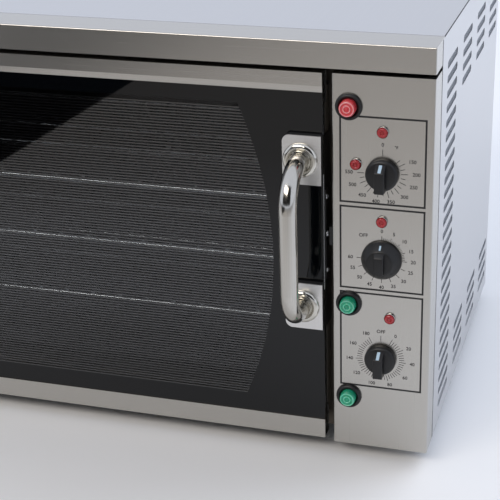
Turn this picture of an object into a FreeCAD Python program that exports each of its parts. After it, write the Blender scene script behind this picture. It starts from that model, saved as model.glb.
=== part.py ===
"""Countertop electric convection oven with a side-hung glass door and a control column.

Frame: millimetres, +Z up, +X to the right and the front facing -Y. The origin is on the
standing surface, under the middle of the whole oven's box.
"""
import FreeCAD, Part
import Sketcher
import math
import os
import re
from FreeCAD import Placement, Rotation, Vector

# Driving sizes: name, value in millimetres (or a count, or degrees), meaning
SIZES = (
    ("body_width", 850, "casing, side to side"),
    ("body_depth", 517, "panel face to rear panel"),
    ("body_height", 524, "casing without its feet"),
    ("foot_height", 20, "rubber foot"),
    ("foot_diameter", 34, "rubber foot at its top"),
    ("foot_tip", 27, "rubber foot at its bottom"),
    ("foot_inset", 62, "foot centre to the casing's edges"),
    ("sheet_gauge", 1.2, "casing and door sheet"),
    ("liner_gauge", 1, "cavity sheet"),
    ("clearance", 0.3, "running gap between moving and fixed pieces"),
    ("front_depth", 40, "depth of the control column and fascia ends"),
    ("seam", 0.8, "open joint between neighbouring outer sheets"),
    ("fascia_height", 31, "fascia face"),
    ("fascia_top_depth", 50, "fascia's strip of the top"),
    ("fascia_lip", 8, "fascia's turned-in lower edge"),
    ("fascia_gap", 5, "shadow gap under the fascia"),
    ("panel_width", 120, "control column"),
    ("edge_radius", 1.6, "rounded bends of the front sheets"),
    ("side_return", 14, "side panel's turned-in top edge"),
    ("pan_wall", 25, "base pan's upturned edge"),
    ("door_gap", 11.5, "door edge to control column"),
    ("hinge_margin", 10, "casing's left side to the door's edge"),
    ("door_top_gap", 5.5, "door to fascia"),
    ("door_bottom_gap", 3.5, "door to the casing's bottom edge"),
    ("door_thickness", 36, "door, face to back"),
    ("top_rail", 23.5, "top door rail's face"),
    ("bottom_rail", 26.5, "bottom door rail's face"),
    ("rail_lip", 7.5, "sloping lower edge of the top rail's face"),
    ("rail_lip_back", 0.9, "slope of that edge, back from the face"),
    ("rail_depth", 20.5, "door rail, front to back"),
    ("rail_back_height", 40, "door rail's rear leg"),
    ("glass_thickness", 5, "outer pane"),
    ("glass_cover", 12, "outer pane behind each rail"),
    ("inner_glass_thickness", 4, "inner pane"),
    ("inner_frame_inset", 24, "door's end to inner frame, top and bottom"),
    ("inner_frame_border", 34, "inner frame round its window"),
    ("inner_glass_lap", 11, "inner pane's overlap on its frame"),
    ("gasket_width", 10, "door seal's face"),
    ("gasket_margin", 6, "cavity mouth to the seal"),
    ("cavity_left", 40, "casing's left side to the cavity"),
    ("cavity_right", 45, "control column to the cavity"),
    ("cavity_floor", 48, "casing's bottom edge to the cavity"),
    ("cavity_head", 78, "casing's top to the cavity"),
    ("cavity_rear", 72, "rear panel to the cavity"),
    ("insulation_gap", 7, "cavity sheet to the insulation"),
    ("rear_insulation", 18, "insulation behind the cavity"),
    ("compartment_gap", 29, "cavity to the control compartment's wall"),
    ("pivot_inset", 12, "hinge pin to the door's left edge and face"),
    ("pin_diameter", 8, "hinge pin"),
    ("pin_length", 16, "hinge pin beyond its bracket"),
    ("bracket_gauge", 3, "hinge bracket plate"),
    ("bracket_width", 34, "hinge bracket, along the door"),
    ("bracket_leg", 22, "hinge bracket's upright leg"),
    ("bracket_setback", 2, "hinge bracket behind the door's face"),
    ("handle_centres", 190, "handle foot to handle foot"),
    ("handle_middle", 288, "handle's middle above the casing's bottom"),
    ("handle_tube", 22, "handle tube"),
    ("handle_projection", 65, "panel face to the grip's centre line"),
    ("handle_bend", 44, "bend of the handle's centre line"),
    ("handle_inset", 25, "handle's centre line to the door's right edge"),
    ("handle_flange", 40, "handle's ringed foot"),
    ("flange_thickness", 5, "handle's ringed foot"),
    ("flange_bead", 4, "bead round the handle's ringed foot"),
    ("handle_plate_width", 47, "plate under each handle foot"),
    ("handle_plate_height", 61, "plate under each handle foot"),
    ("handle_plate_gauge", 2, "plate under each handle foot"),
    ("plate_corner", 9, "plate's rounded inner corners"),
    ("handle_spacer", 7, "black pad between plate and glass"),
    ("bolt_diameter", 6, "handle bolt"),
    ("bolt_head", 11, "handle bolt's head"),
    ("stile_height", 250, "latch stile on the door's edge"),
    ("stile_width", 62, "latch stile's leg behind the glass"),
    ("stile_gauge", 1.5, "latch stile sheet"),
    ("catch_middle", 284, "ball catch above the casing's bottom"),
    ("catch_plate_height", 116, "ball catch's face plate"),
    ("catch_plate_width", 10, "ball catch's face plate"),
    ("catch_screws", 96, "ball catch's screws, one to the other"),
    ("catch_screw_head", 6, "ball catch's screws"),
    ("catch_barrel", 9.5, "ball catch's spring barrel"),
    ("catch_barrel_length", 26, "ball catch's spring barrel"),
    ("catch_spring", 8, "room for the spring behind the catch's plunger"),
    ("plunger_diameter", 6, "ball catch's plunger"),
    ("ball_diameter", 7.6, "catch ball"),
    ("ball_proud", 5.5, "catch ball beyond the door's edge"),
    ("strike_height", 24, "catch strike"),
    ("strike_width", 14, "catch strike"),
    ("dimple_radius", 5.3, "hollow of the catch strike"),
    ("dimple_depth", 2.1, "hollow of the catch strike"),
    ("tier_first", 91, "cavity floor to the lowest shelf"),
    ("tier_pitch", 83, "shelf to shelf"),
    ("tier_count", 4, "shelf positions"),
    ("shelf_rod", 7, "shelf frame rod"),
    ("shelf_wire", 4, "shelf cross wire"),
    ("shelf_wire_pitch", 38, "cross wires, at least"),
    ("shelf_wire_end", 1, "cross wire beyond the frame rod's middle"),
    ("shelf_stay", 6, "shelf's stays under its wires"),
    ("stay_inset", 128, "shelf's front and rear rods to its two stays"),
    ("weld_overlap", 0.6, "rods sunk into each other where they are welded"),
    ("shelf_depth", 330, "shelf, front rod to rear rod"),
    ("shelf_front", 65, "panel face to the shelf's front rod"),
    ("shelf_side_gap", 14, "cavity side to the shelf's side rod"),
    ("shelf_corner", 18, "bend of the shelf's frame rod"),
    ("guide_rod", 6, "shelf guide rod"),
    ("guide_stand", 6, "cavity side to the guide's uprights"),
    ("guide_end", 24, "guide uprights inside the shelf's ends"),
    ("baffle_front", 43, "baffle to the cavity's rear wall"),
    ("baffle_side", 22, "air outlet beside the baffle"),
    ("baffle_head", 42, "cavity top to the baffle"),
    ("intake_slots", 16, "radial slots of the air intake"),
    ("intake_inner", 24, "air intake slots' inner radius"),
    ("intake_length", 58, "air intake slot"),
    ("intake_width", 7, "air intake slot"),
    ("fan_diameter", 180, "fan wheel"),
    ("fan_depth", 28, "fan blade along the shaft"),
    ("fan_blades", 12, "blades"),
    ("blade_length", 42, "blade along the radius"),
    ("fan_gauge", 2, "fan disc and blades"),
    ("fan_rear_gap", 4, "fan wheel to the rear wall"),
    ("hub_diameter", 24, "fan hub"),
    ("shaft_diameter", 8, "motor shaft"),
    ("motor_diameter", 88, "fan motor"),
    ("motor_length", 50, "fan motor"),
    ("motor_cap", 36, "fan motor's rear bearing cap"),
    ("motor_cap_rise", 6, "fan motor's rear bearing cap"),
    ("motor_flange", 112, "fan motor's front plate"),
    ("motor_flange_gauge", 6, "fan motor's front plate"),
    ("motor_clearance", 9, "insulation round the motor's front plate"),
    ("element_tube", 8, "heating element"),
    ("ring_diameter", 236, "ring element's centre line"),
    ("ring_offset", 23, "ring element to the rear wall"),
    ("terminal_pitch", 36, "element ends"),
    ("terminal_length", 18, "element ends behind the rear wall"),
    ("grill_drop", 20, "cavity top to the grill element"),
    ("grill_pitch", 84, "grill element, run to run"),
    ("grill_runs", 6, "grill element's runs, an even number"),
    ("grill_front", 110, "panel face to the grill element"),
    ("grill_rear", 92, "cavity's rear wall to the grill element's middle loop"),
    ("grill_bend", 30, "bend of the grill element"),
    ("lamp_diameter", 42, "oven lamp's glass"),
    ("lamp_opening", 38, "oven lamp's hole in the cavity sheet"),
    ("lamp_dome", 13, "oven lamp's glass into the cavity"),
    ("lamp_glass_wall", 2, "oven lamp's glass"),
    ("lamp_cup", 44, "oven lamp's holder"),
    ("lamp_cup_wall", 1.5, "oven lamp's holder"),
    ("bulb_diameter", 18, "oven lamp's bulb"),
    ("bulb_proud", 7, "oven lamp's bulb in front of its holder"),
    ("lamp_depth", 20, "oven lamp's holder"),
    ("lamp_rise", 28, "cavity top to the lamp's centre"),
    ("lamp_back", 112, "panel face to the lamp's centre"),
    ("probe_diameter", 6, "thermostat's sensing bulb"),
    ("probe_length", 110, "thermostat's sensing bulb"),
    ("probe_drop", 24, "cavity top to the sensing bulb"),
    ("probe_back", 175, "panel face to the sensing bulb"),
    ("probe_clip", 8, "sensing bulb's clips"),
    ("knob_diameter", 39, "temperature and cook time knobs"),
    ("knob_skirt", 9, "their round skirt"),
    ("knob_shoulder", 31, "flat top of their skirt, across"),
    ("knob_nose", 15, "axis to the foot of their bar's sloping end"),
    ("knob_crest", 7.6, "axis to the top of their bar's sloping end"),
    ("knob_tail", 18.5, "axis to the other end of their bar"),
    ("bake_knob_diameter", 49, "bake time knob"),
    ("bake_knob_skirt", 14, "its round skirt"),
    ("bake_knob_shoulder", 31, "flat top of its skirt, across"),
    ("bake_knob_nose", 15, "axis to the foot of its bar's sloping end"),
    ("bake_knob_crest", 9.8, "axis to the top of its bar's sloping end"),
    ("bake_knob_tail", 13, "axis to the other end of its bar"),
    ("knob_rim", 3, "straight edge of a knob's skirt"),
    ("knob_height", 20.4, "knob, back to the top of its bar"),
    ("knob_bar", 13, "knob's grip bar"),
    ("knob_gap", 0.6, "knob to panel"),
    ("spindle_diameter", 6, "control spindle"),
    ("spindle_reach", 12, "spindle inside the knob"),
    ("spindle_depth", 20, "spindle behind the panel face"),
    ("control_column_middle", 60, "knobs from the control panel's left edge"),
    ("temperature_drop", 117, "panel's top to the temperature knob"),
    ("bake_height", 262, "bake time knob above the casing's bottom"),
    ("cook_height", 128, "cook time knob above the casing's bottom"),
    ("control_case", 52, "thermostat and timer cases"),
    ("control_case_depth", 32, "thermostat and timer cases"),
    ("control_can", 42, "thermostat and timer cans"),
    ("control_can_depth", 37, "thermostat and timer cans"),
    ("button_column", 20, "push buttons from the control panel's left edge"),
    ("power_drop", 38, "panel's top to the power button"),
    ("hold_height", 200, "hold button above the casing's bottom"),
    ("light_height", 70.5, "light button above the casing's bottom"),
    ("bezel_diameter", 32, "push button's black collar"),
    ("bezel_crest", 26.5, "top of the push button's collar, across"),
    ("bezel_height", 5, "push button's black collar"),
    ("bezel_round", 3, "push button collar's rounded top"),
    ("button_diameter", 20, "push button cap"),
    ("button_proud", 11, "push button cap in front of the panel"),
    ("button_travel", 3.5, "push button"),
    ("cap_rim", 3, "push button cap's raised rim"),
    ("cap_recess", 0.8, "hollow of the push button cap"),
    ("barrel_diameter", 26, "push button's body behind the panel"),
    ("barrel_length", 30, "push button's body behind the panel"),
    ("barrel_floor", 2, "push button body's rear wall"),
    ("pilot_diameter", 14, "pilot lamp lens"),
    ("pilot_proud", 5, "pilot lamp lens"),
    ("pilot_round", 4, "pilot lamp lens's rounded rim"),
    ("pilot_body", 10, "pilot lamp's body"),
    ("pilot_body_length", 24, "pilot lamp's body"),
    ("ready_pilot_drop", 66, "panel's top to the pilot lamp over the temperature knob"),
    ("cycle_pilot_drop", 107, "panel's top to the pilot lamp beside the temperature knob"),
    ("cycle_pilot_inset", 28.5, "pilot lamp beside the temperature knob, from the panel's left edge"),
    ("bake_pilot_height", 311, "pilot lamp over the bake time knob"),
    ("cook_pilot_height", 185, "pilot lamp over the cook time knob"),
    ("cook_pilot_inset", 71, "pilot lamp over the cook time knob, from the panel's left edge"),
    ("vent_length", 72, "side vent slot"),
    ("vent_width", 9.5, "side vent slot"),
    ("vent_front", 77, "panel face to the first vent column"),
    ("vent_back", 17, "last vent column to the rear edge"),
    ("vent_foot", 26.6, "casing's bottom to the lowest vent row"),
    ("vent_head", 42, "casing's top to the highest vent row"),
    ("vent_rows", 26, "vents in the full column"),
    ("vent_columns", 4, "vent columns at the top and bottom"),
    ("vent_block_rows", 4, "rows of the short columns"),
    ("shield_gap", 6, "side panel to the shield behind its vents"),
    ("shield_rib", 6, "upright ribs that carry the shield"),
    ("shield_margin", 4, "shield beyond the vents"),
    ("rear_vent_width", 6, "slot behind the motor"),
    ("rear_vent_rows", 9, "slots behind the motor, each side"),
    ("rear_vent_pitch", 18, "slots behind the motor"),
    ("gland_proud", 12, "mains inlet gland behind the rear panel"),
    ("gland_diameter", 26, "mains inlet gland"),
    ("gland_neck", 18, "mains inlet gland through the rear panel"),
    ("gland_bore", 11, "mains inlet gland"),
    ("gland_inset", 60, "mains inlet gland to the casing's edges"),
    ("terminal_block_length", 72, "mains terminal block"),
    ("terminal_block_depth", 26, "mains terminal block"),
    ("terminal_block_height", 24, "mains terminal block"),
    ("terminal_poles", 5, "mains terminal block"),
    ("screw_head", 8, "casing screw's head"),
    ("screw_head_height", 2.4, "casing screw's head"),
    ("screw_shank", 3.8, "casing screw"),
    ("screw_length", 8, "casing screw"),
    ("screw_inset", 12, "casing screw to the rear panel's edges"),
)

# Places worked out from the driving sizes
LAYOUT = (
    ("left", "-body_width / 2"),
    ("right", "body_width / 2"),
    ("front", "(handle_projection + handle_tube / 2 - body_depth - gland_proud) / 2"),
    ("back", "front + body_depth"),
    ("base", "foot_height"),
    ("top", "foot_height + body_height"),
    ("shell_front", "front + front_depth"),
    ("panel_left", "right - panel_width"),
    ("panel_height", "body_height - fascia_height - fascia_gap"),
    ("temperature_height", "panel_height - temperature_drop"),
    ("power_height", "panel_height - power_drop"),
    ("ready_pilot_height", "panel_height - ready_pilot_drop"),
    ("cycle_pilot_height", "panel_height - cycle_pilot_drop"),
    ("door_left", "left + hinge_margin"),
    ("door_right", "panel_left - door_gap"),
    ("door_width", "door_right - door_left"),
    ("door_bottom", "base + door_bottom_gap"),
    ("door_top", "top - fascia_height - door_top_gap"),
    ("door_height", "door_top - door_bottom"),
    ("glass_front", "front + sheet_gauge"),
    ("glass_bottom", "door_bottom + bottom_rail - glass_cover"),
    ("glass_height", "door_height - bottom_rail - top_rail + 2 * glass_cover"),
    ("pivot_x", "door_left + pivot_inset"),
    ("pivot_y", "front + pivot_inset"),
    ("inner_frame_right", "door_right - stile_gauge"),
    ("inner_frame_width", "inner_frame_right - pivot_x"),
    ("inner_frame_bottom", "door_bottom + inner_frame_inset"),
    ("inner_frame_height", "door_height - 2 * inner_frame_inset"),
    ("inner_frame_depth", "door_thickness - rail_depth"),
    ("cav_left", "left + cavity_left"),
    ("cav_right", "panel_left - cavity_right"),
    ("cav_bottom", "base + cavity_floor"),
    ("cav_top", "top - cavity_head"),
    ("cav_back", "back - cavity_rear"),
    ("cav_width", "cav_right - cav_left"),
    ("cav_height", "cav_top - cav_bottom"),
    ("liner_front", "shell_front + sheet_gauge"),
    ("handle_x", "door_right - handle_inset"),
    ("handle_z", "base + handle_middle"),
    ("handle_seat", "glass_front - handle_spacer - handle_plate_gauge"),
    ("catch_y", "glass_front + glass_thickness + stile_gauge + (catch_barrel + clearance) / 2"),
    ("catch_z", "base + catch_middle"),
    ("strike_proud", "door_gap - ball_proud - 2 * clearance"),
    ("baffle_y", "cav_back - baffle_front"),
    ("fan_x", "(cav_left + cav_right) / 2"),
    ("fan_z", "(cav_bottom + cav_top - baffle_head) / 2"),
    ("fan_y", "cav_back - fan_rear_gap"),
    ("liner_back", "cav_back + liner_gauge"),
    ("lamp_y", "front + lamp_back"),
    ("lamp_z", "cav_top - lamp_rise"),
    ("compartment_x", "cav_right + compartment_gap"),
    ("column_x", "panel_left + control_column_middle"),
    ("button_x", "panel_left + button_column"),
    ("vent_pitch", "(body_height - vent_foot - vent_head) / (vent_rows - 1)"),
    ("vent_step", "(body_depth - vent_front - vent_back - vent_length) / (vent_columns - 1)"),
    ("gland_x", "right - gland_inset"),
    ("gland_z", "base + gland_inset"),
)

doc = FreeCAD.newDocument("convection_oven")
sheet = doc.addObject("Spreadsheet::Sheet", "Sizes")
for row, (alias, value, meaning) in enumerate(SIZES, 1):
    sheet.set("A%d" % row, meaning)
    sheet.set("B%d" % row, str(value))
    sheet.setAlias("B%d" % row, alias)
SIZE_NAMES = {alias for alias, value, meaning in SIZES}
LAYOUT_NAMES = {name for name, formula in LAYOUT}


def ex(text):
    """An expression in which plain size names point at the sheet or the layout."""
    def full(match):
        word = match.group(0)
        if word in SIZE_NAMES:
            return "Sizes." + word
        return "Layout." + word if word in LAYOUT_NAMES else word
    return re.sub(r"[a-z_]+", full, text)


layout = doc.addObject("App::VarSet", "Layout")
layout.addProperty("App::PropertyFloat", "trial")
for name, formula in LAYOUT:
    layout.addProperty("App::PropertyFloat", name)
for name, formula in LAYOUT:
    layout.setExpression(name, ex(formula))
doc.recompute()


def size(name):
    """The value of a driving size or of a place in the layout."""
    return float(sheet.get(name)) if name in SIZE_NAMES else float(getattr(layout, name))


def worth(text):
    """The number that an expression gives."""
    layout.setExpression("trial", ex(text))
    layout.recompute()
    return layout.trial


# Ways to place and shape the pieces
FACING_FRONT = Rotation(Vector(1, 0, 0), 90)
TURN = {"x": Rotation(Vector(0, 1, 0), 90), "y": Rotation(Vector(1, 0, 0), -90), "z": Rotation()}
pieces = []


def place(obj, x, y, z):
    for axis, text in zip("xyz", (x, y, z)):
        obj.setExpression("Placement.Base." + axis, ex(text))


def keep(obj, label):
    """Name a finished piece, to be written to its own file."""
    obj.Label = label
    pieces.append(obj)
    return obj


def new_body(label, x, y, z, turn=Rotation(), own_file=True):
    """An empty body; one that joins a group gets no file of its own."""
    body = doc.addObject("PartDesign::Body", label)
    body.Placement = Placement(Vector(), turn)
    place(body, x, y, z)
    return keep(body, label) if own_file else body


def pin(sketch, geometry, point, x, y):
    """Hold a sketch point at x, y from the sketch's origin."""
    for kind, text in (("DistanceX", x), ("DistanceY", y)):
        number = sketch.addConstraint(Sketcher.Constraint(kind, -1, 1, geometry, point, worth(text)))
        sketch.setExpression("Constraints[%d]" % number, ex(text))


def draw_outline(sketch, *points):
    """A closed outline of straight lines."""
    count = len(points)
    turns = [2 * math.pi * i / count for i in range(count)]
    ring = [Vector(math.cos(turn), math.sin(turn), 0) for turn in turns]
    lines = []
    for i in range(count):
        segment = Part.LineSegment(ring[i], ring[(i + 1) % count])
        lines.append(sketch.addGeometry(segment, False))
    for i, line in enumerate(lines):
        sketch.addConstraint(Sketcher.Constraint("Coincident", line, 2, lines[(i + 1) % count], 1))
        pin(sketch, line, 1, *points[i])


def draw_rect(sketch, x, y, width, height):
    far_x, far_y = "%s + (%s)" % (x, width), "%s + (%s)" % (y, height)
    draw_outline(sketch, (x, y), (far_x, y), (far_x, far_y), (x, far_y))


def draw_circle(sketch, x, y, diameter):
    circle = sketch.addGeometry(Part.Circle(Vector(), Vector(0, 0, 1), 1.0), False)
    pin(sketch, circle, 3, x, y)
    number = sketch.addConstraint(Sketcher.Constraint("Diameter", circle, 2.0))
    sketch.setExpression("Constraints[%d]" % number, ex(diameter))


def draw_slot(sketch, x, y, length, width):
    """A slot with round ends along the sketch's first axis, starting at x on the middle line y."""
    middle_y, radius = worth(y), worth(width) / 2
    ends, tips = [], []
    for start, sign, middle in ((0.5, "+", "%s + %s / 2" % (x, width)),
                                (1.5, "-", "%s + %s - %s / 2" % (x, length, width))):
        middle_x = worth(middle)
        circle = Part.Circle(Vector(middle_x, middle_y, 0), Vector(0, 0, 1), radius)
        arc = Part.ArcOfCircle(circle, start * math.pi, (start + 1) * math.pi)
        ends.append((sketch.addGeometry(arc, False), middle, sign))
        tips.append(middle_x)
    for height, first, second in ((radius, (0, 1), (1, 2)), (-radius, (0, 2), (1, 1))):
        level = middle_y + height
        run = Part.LineSegment(Vector(tips[0], level, 0), Vector(tips[1], level, 0))
        line = sketch.addGeometry(run, False)
        for tip, (end, point) in ((1, first), (2, second)):
            sketch.addConstraint(Sketcher.Constraint("Coincident", line, tip, ends[end][0], point))
    for arc, middle, sign in ends:
        pin(sketch, arc, 3, middle, y)
        pin(sketch, arc, 1, middle, "%s %s %s / 2" % (y, sign, width))
        number = sketch.addConstraint(Sketcher.Constraint("DistanceX", -1, 1, arc, 2, worth(middle)))
        sketch.setExpression("Constraints[%d]" % number, ex(middle))


def inset_rect(margin, width, height):
    """A rectangle that lies a margin inside one of this width and height at the origin."""
    inner_width, inner_height = ("%s - 2 * (%s)" % (side, margin) for side in (width, height))
    return ("rect", margin, margin, inner_width, inner_height)


DRAW = {"outline": draw_outline, "rect": draw_rect, "circle": draw_circle, "slot": draw_slot}


def profile(body, plane, shapes, lift="0"):
    """A sketch on one of the body's own planes, moved along the plane's normal by lift."""
    sketch = body.newObject("Sketcher::SketchObject", body.Name + "_sketch")
    role = plane + "_Plane"
    support = next(f for f in body.Origin.OriginFeatures if f.Role == role)
    sketch.AttachmentSupport = [(support, "")]
    sketch.MapMode = "FlatFace"
    sketch.setExpression("AttachmentOffset.Base.z", ex(lift))
    for kind, *numbers in shapes:
        DRAW[kind](sketch, *numbers)
    return sketch


def pad(body, sketch, length, reverse=False):
    feature = body.newObject("PartDesign::Pad", body.Name + "_pad")
    feature.Profile = sketch
    feature.setExpression("Length", ex(length))
    feature.Reversed = reverse
    return feature


def pocket(body, sketch, depth=None, reverse=False):
    """A cut of a given depth, or right through both ways."""
    feature = body.newObject("PartDesign::Pocket", body.Name + "_pocket")
    feature.Profile = sketch
    if depth is None:
        feature.Type = "ThroughAll"
        feature.Midplane = True
    else:
        feature.setExpression("Length", ex(depth))
        feature.Reversed = reverse
    return feature


def turned(body, outline):
    """A solid of revolution about the body's own Z axis, from points of radius and height."""
    sketch = profile(body, "XZ", [("outline", *outline)])
    feature = body.newObject("PartDesign::Revolution", body.Name + "_turned")
    feature.Profile = sketch
    feature.ReferenceAxis = (sketch, ["V_Axis"])
    return feature


def rounded(body, radius, chosen):
    """Round the edges of the body for which chosen(edge) is true."""
    doc.recompute()
    base = body.Tip
    names = ["Edge%d" % (i + 1) for i, edge in enumerate(base.Shape.Edges) if chosen(edge)]
    feature = body.newObject("PartDesign::Fillet", body.Name + "_rounding")
    feature.Base = (base, names)
    feature.setExpression("Radius", ex(radius))
    return feature


def near(value, target):
    return abs(value - target) < 0.01


def upright(edge, x, y):
    """True for an edge along Z at x, y in its body's own frame."""
    box = edge.BoundBox
    return near(box.XLength, 0) and near(box.YLength, 0) and near(box.XMin, x) and near(box.YMin, y)


def box(name, corner, sides):
    solid = doc.addObject("Part::Box", name)
    for prop, text in zip(("Length", "Width", "Height"), sides):
        solid.setExpression(prop, ex(text))
    place(solid, *corner)
    return solid


def rod(name, axis, start, diameter, length):
    solid = doc.addObject("Part::Cylinder", name)
    solid.Placement = Placement(Vector(), TURN[axis])
    solid.setExpression("Radius", ex("(%s) / 2" % diameter))
    solid.setExpression("Height", ex(length))
    place(solid, *start)
    return solid


def fuse(name, *parts):
    joined = doc.addObject("Part::MultiFuse", name)
    joined.Shapes = list(parts)
    return joined


def cut(name, base, *tools):
    trimmed = doc.addObject("Part::Cut", name)
    trimmed.Base = base
    trimmed.Tool = tools[0] if len(tools) == 1 else fuse(name + "_tools", *tools)
    return trimmed


def group(label, *parts):
    """Alike pieces that share a node, each still a solid of its own."""
    together = doc.addObject("Part::Compound", label)
    together.Links = list(parts)
    return keep(together, label)


def shaped(label, solid):
    """A piece whose form comes from a bent path."""
    feature = doc.addObject("Part::Feature", label)
    feature.Shape = solid
    return keep(feature, label)


def bent_path(points, bend, closed=False):
    """Straight runs through points, with a tangent arc of radius bend at each corner."""
    count = len(points)
    corners = range(count) if closed else range(1, count - 1)
    arcs = {}
    for i in corners:
        here, before, after = points[i], points[i - 1], points[(i + 1) % count]
        back_way, on_way = (before - here).normalize(), (after - here).normalize()
        half = back_way.getAngle(on_way) / 2
        reach = bend / math.tan(half)
        middle = (back_way + on_way).normalize() * (bend / math.sin(half) - bend)
        arcs[i] = (here + back_way * reach, here + middle, here + on_way * reach)
    edges = []
    for i in range(count if closed else count - 1):
        following = (i + 1) % count
        start = arcs[i][2] if i in arcs else points[i]
        stop = arcs[following][0] if following in arcs else points[following]
        if start.distanceToPoint(stop) > 1e-6:
            edges.append(Part.LineSegment(start, stop).toShape())
        if following in arcs:
            edges.append(Part.Arc(*arcs[following]).toShape())
    return Part.Wire(edges)


def bent_rod(points, bend, diameter, closed=False):
    """A round rod along a bent path."""
    path = bent_path(points, bend, closed)
    first = path.OrderedEdges[0]
    start = first.valueAt(first.FirstParameter)
    section = Part.Wire(Part.makeCircle(diameter / 2, start, first.tangentAt(first.FirstParameter)))
    return path.makePipeShell([section], True, False)


def bar(start, stop, diameter):
    return Part.makeCylinder(diameter / 2, start.distanceToPoint(stop), start, stop - start)


# Casing
SCREW_COLUMNS = ("left + screw_inset", "0", "right - screw_inset")


def make_base_pan():
    body = new_body("base_pan", "left + sheet_gauge", "liner_front", "base")
    width, depth = "body_width - 2 * sheet_gauge", "back - sheet_gauge - liner_front"
    pad(body, profile(body, "XY", [("rect", "0", "0", width, depth)]), "pan_wall")
    inside = inset_rect("sheet_gauge", width, depth)
    pocket(body, profile(body, "XY", [inside], "pan_wall"), "pan_wall - sheet_gauge")
    screws = [("circle", "%s - left - sheet_gauge" % x, "screw_inset", "screw_shank + 2 * clearance")
              for x in SCREW_COLUMNS]
    pocket(body, profile(body, "XZ", screws, "-(%s)" % depth), "2 * sheet_gauge", reverse=True)


def make_side_panel(label, edge, inward):
    """A flat side with its top edge turned in; inward is 1 on the left and -1 on the right."""
    body = new_body(label, edge, "shell_front + seam", "base")
    gauge, tip = "%d * sheet_gauge" % inward, "%d * side_return" % inward
    over, under = "body_height - sheet_gauge", "body_height - 2 * sheet_gauge"
    ell = (("0", "0"), (gauge, "0"), (gauge, under), (tip, under), (tip, over), ("0", over))
    pad(body, profile(body, "XZ", [("outline", *ell)]), "back - shell_front - seam", reverse=True)
    return body


def vent_block(body, column, row, columns, rows):
    """Side vents: a slot repeated along the depth and up the height."""
    along = "vent_front - front_depth - seam + %s * vent_step" % column
    up = "vent_foot + %s * vent_pitch" % row
    sketch = profile(body, "YZ", [("slot", along, up, "vent_length", "vent_width")])
    first = pocket(body, sketch)
    block = body.newObject("PartDesign::LinearPattern", "vents")
    block.Originals = [first]
    ways = (("", "V_Axis", "vent_pitch", rows), ("2", "H_Axis", "vent_step", columns))
    for number, axis, step, count in ways:
        setattr(block, "Direction" + number, (sketch, [axis]))
        setattr(block, "Mode" + number, "Spacing")
        block.setExpression("Offset" + number, ex(step))
        block.setExpression("Occurrences" + number, ex(count))
    doc.recompute()
    block.Spacings2 = [-1.0] * (block.Occurrences2 - 1)
    body.Tip = block


def make_right_side():
    """The vented side, with a shield on two ribs that keeps fingers off the wiring."""
    body = make_side_panel("right_side_panel", "right", -1)
    vent_block(body, "0", "0", "1", "vent_rows")
    vent_block(body, "1", "0", "vent_columns - 1", "vent_block_rows")
    vent_block(body, "1", "(vent_rows - vent_block_rows)", "vent_columns - 1", "vent_block_rows")
    first = "vent_front - front_depth - seam - shield_margin - shield_rib"
    last = "back - shell_front - seam - vent_back + shield_margin"
    foot = "pan_wall + shield_margin"
    tall = "body_height - vent_head + vent_width / 2 + shield_margin - (%s)" % foot
    ribs = [("rect", along, foot, "shield_rib", tall) for along in (first, last)]
    pad(body, profile(body, "YZ", ribs, "-sheet_gauge"), "shield_gap", reverse=True)
    shield = ("rect", first, foot, "%s + shield_rib - (%s)" % (last, first), tall)
    pad(body, profile(body, "YZ", [shield], "-sheet_gauge - shield_gap"), "sheet_gauge", reverse=True)


def rear_screw_places():
    """Screw places on the rear panel: three along the top and bottom, one half-way up each side."""
    rows = ("base + screw_inset", "(base + top) / 2", "top - screw_inset")
    return [(x, z) for x in SCREW_COLUMNS for z in rows if (x, z) != (SCREW_COLUMNS[1], rows[1])]


def make_rear_panel():
    body = new_body("rear_panel", "left + sheet_gauge", "back - sheet_gauge", "base")
    outline = ("rect", "0", "0", "body_width - 2 * sheet_gauge", "body_height - 2 * sheet_gauge")
    pad(body, profile(body, "XZ", [outline]), "sheet_gauge", reverse=True)
    holes = [("circle", "gland_x - left - sheet_gauge", "gland_inset", "gland_neck + 2 * clearance")]
    for x, z in rear_screw_places():
        across, up = "%s - left - sheet_gauge" % x, "%s - base" % z
        holes.append(("circle", across, up, "screw_shank + 2 * clearance"))
    pocket(body, profile(body, "XZ", holes))
    rise = "fan_z - base - (rear_vent_rows - 1) / 2 * rear_vent_pitch"
    slots = [("slot", "fan_x - left - sheet_gauge %s" % side, rise, "vent_length", "rear_vent_width")
             for side in ("- vent_length - intake_width", "+ intake_width")]
    sketch = profile(body, "XZ", slots)
    first = pocket(body, sketch)
    column = body.newObject("PartDesign::LinearPattern", "motor_vents")
    column.Originals = [first]
    column.Direction = (sketch, ["V_Axis"])
    column.Mode = "Spacing"
    column.setExpression("Offset", ex("rear_vent_pitch"))
    column.setExpression("Occurrences", ex("rear_vent_rows"))
    body.Tip = column


def make_rear_screws():
    screws = []
    for i, (x, z) in enumerate(rear_screw_places()):
        head = rod("screw_head_%d" % i, "y", (x, "back", z), "screw_head", "screw_head_height")
        shank = rod("screw_shank_%d" % i, "y", (x, "back - screw_length", z), "screw_shank", "screw_length")
        screws.append(fuse("screw_%d" % i, head, shank))
    group("rear_panel_screws", *screws)


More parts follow.
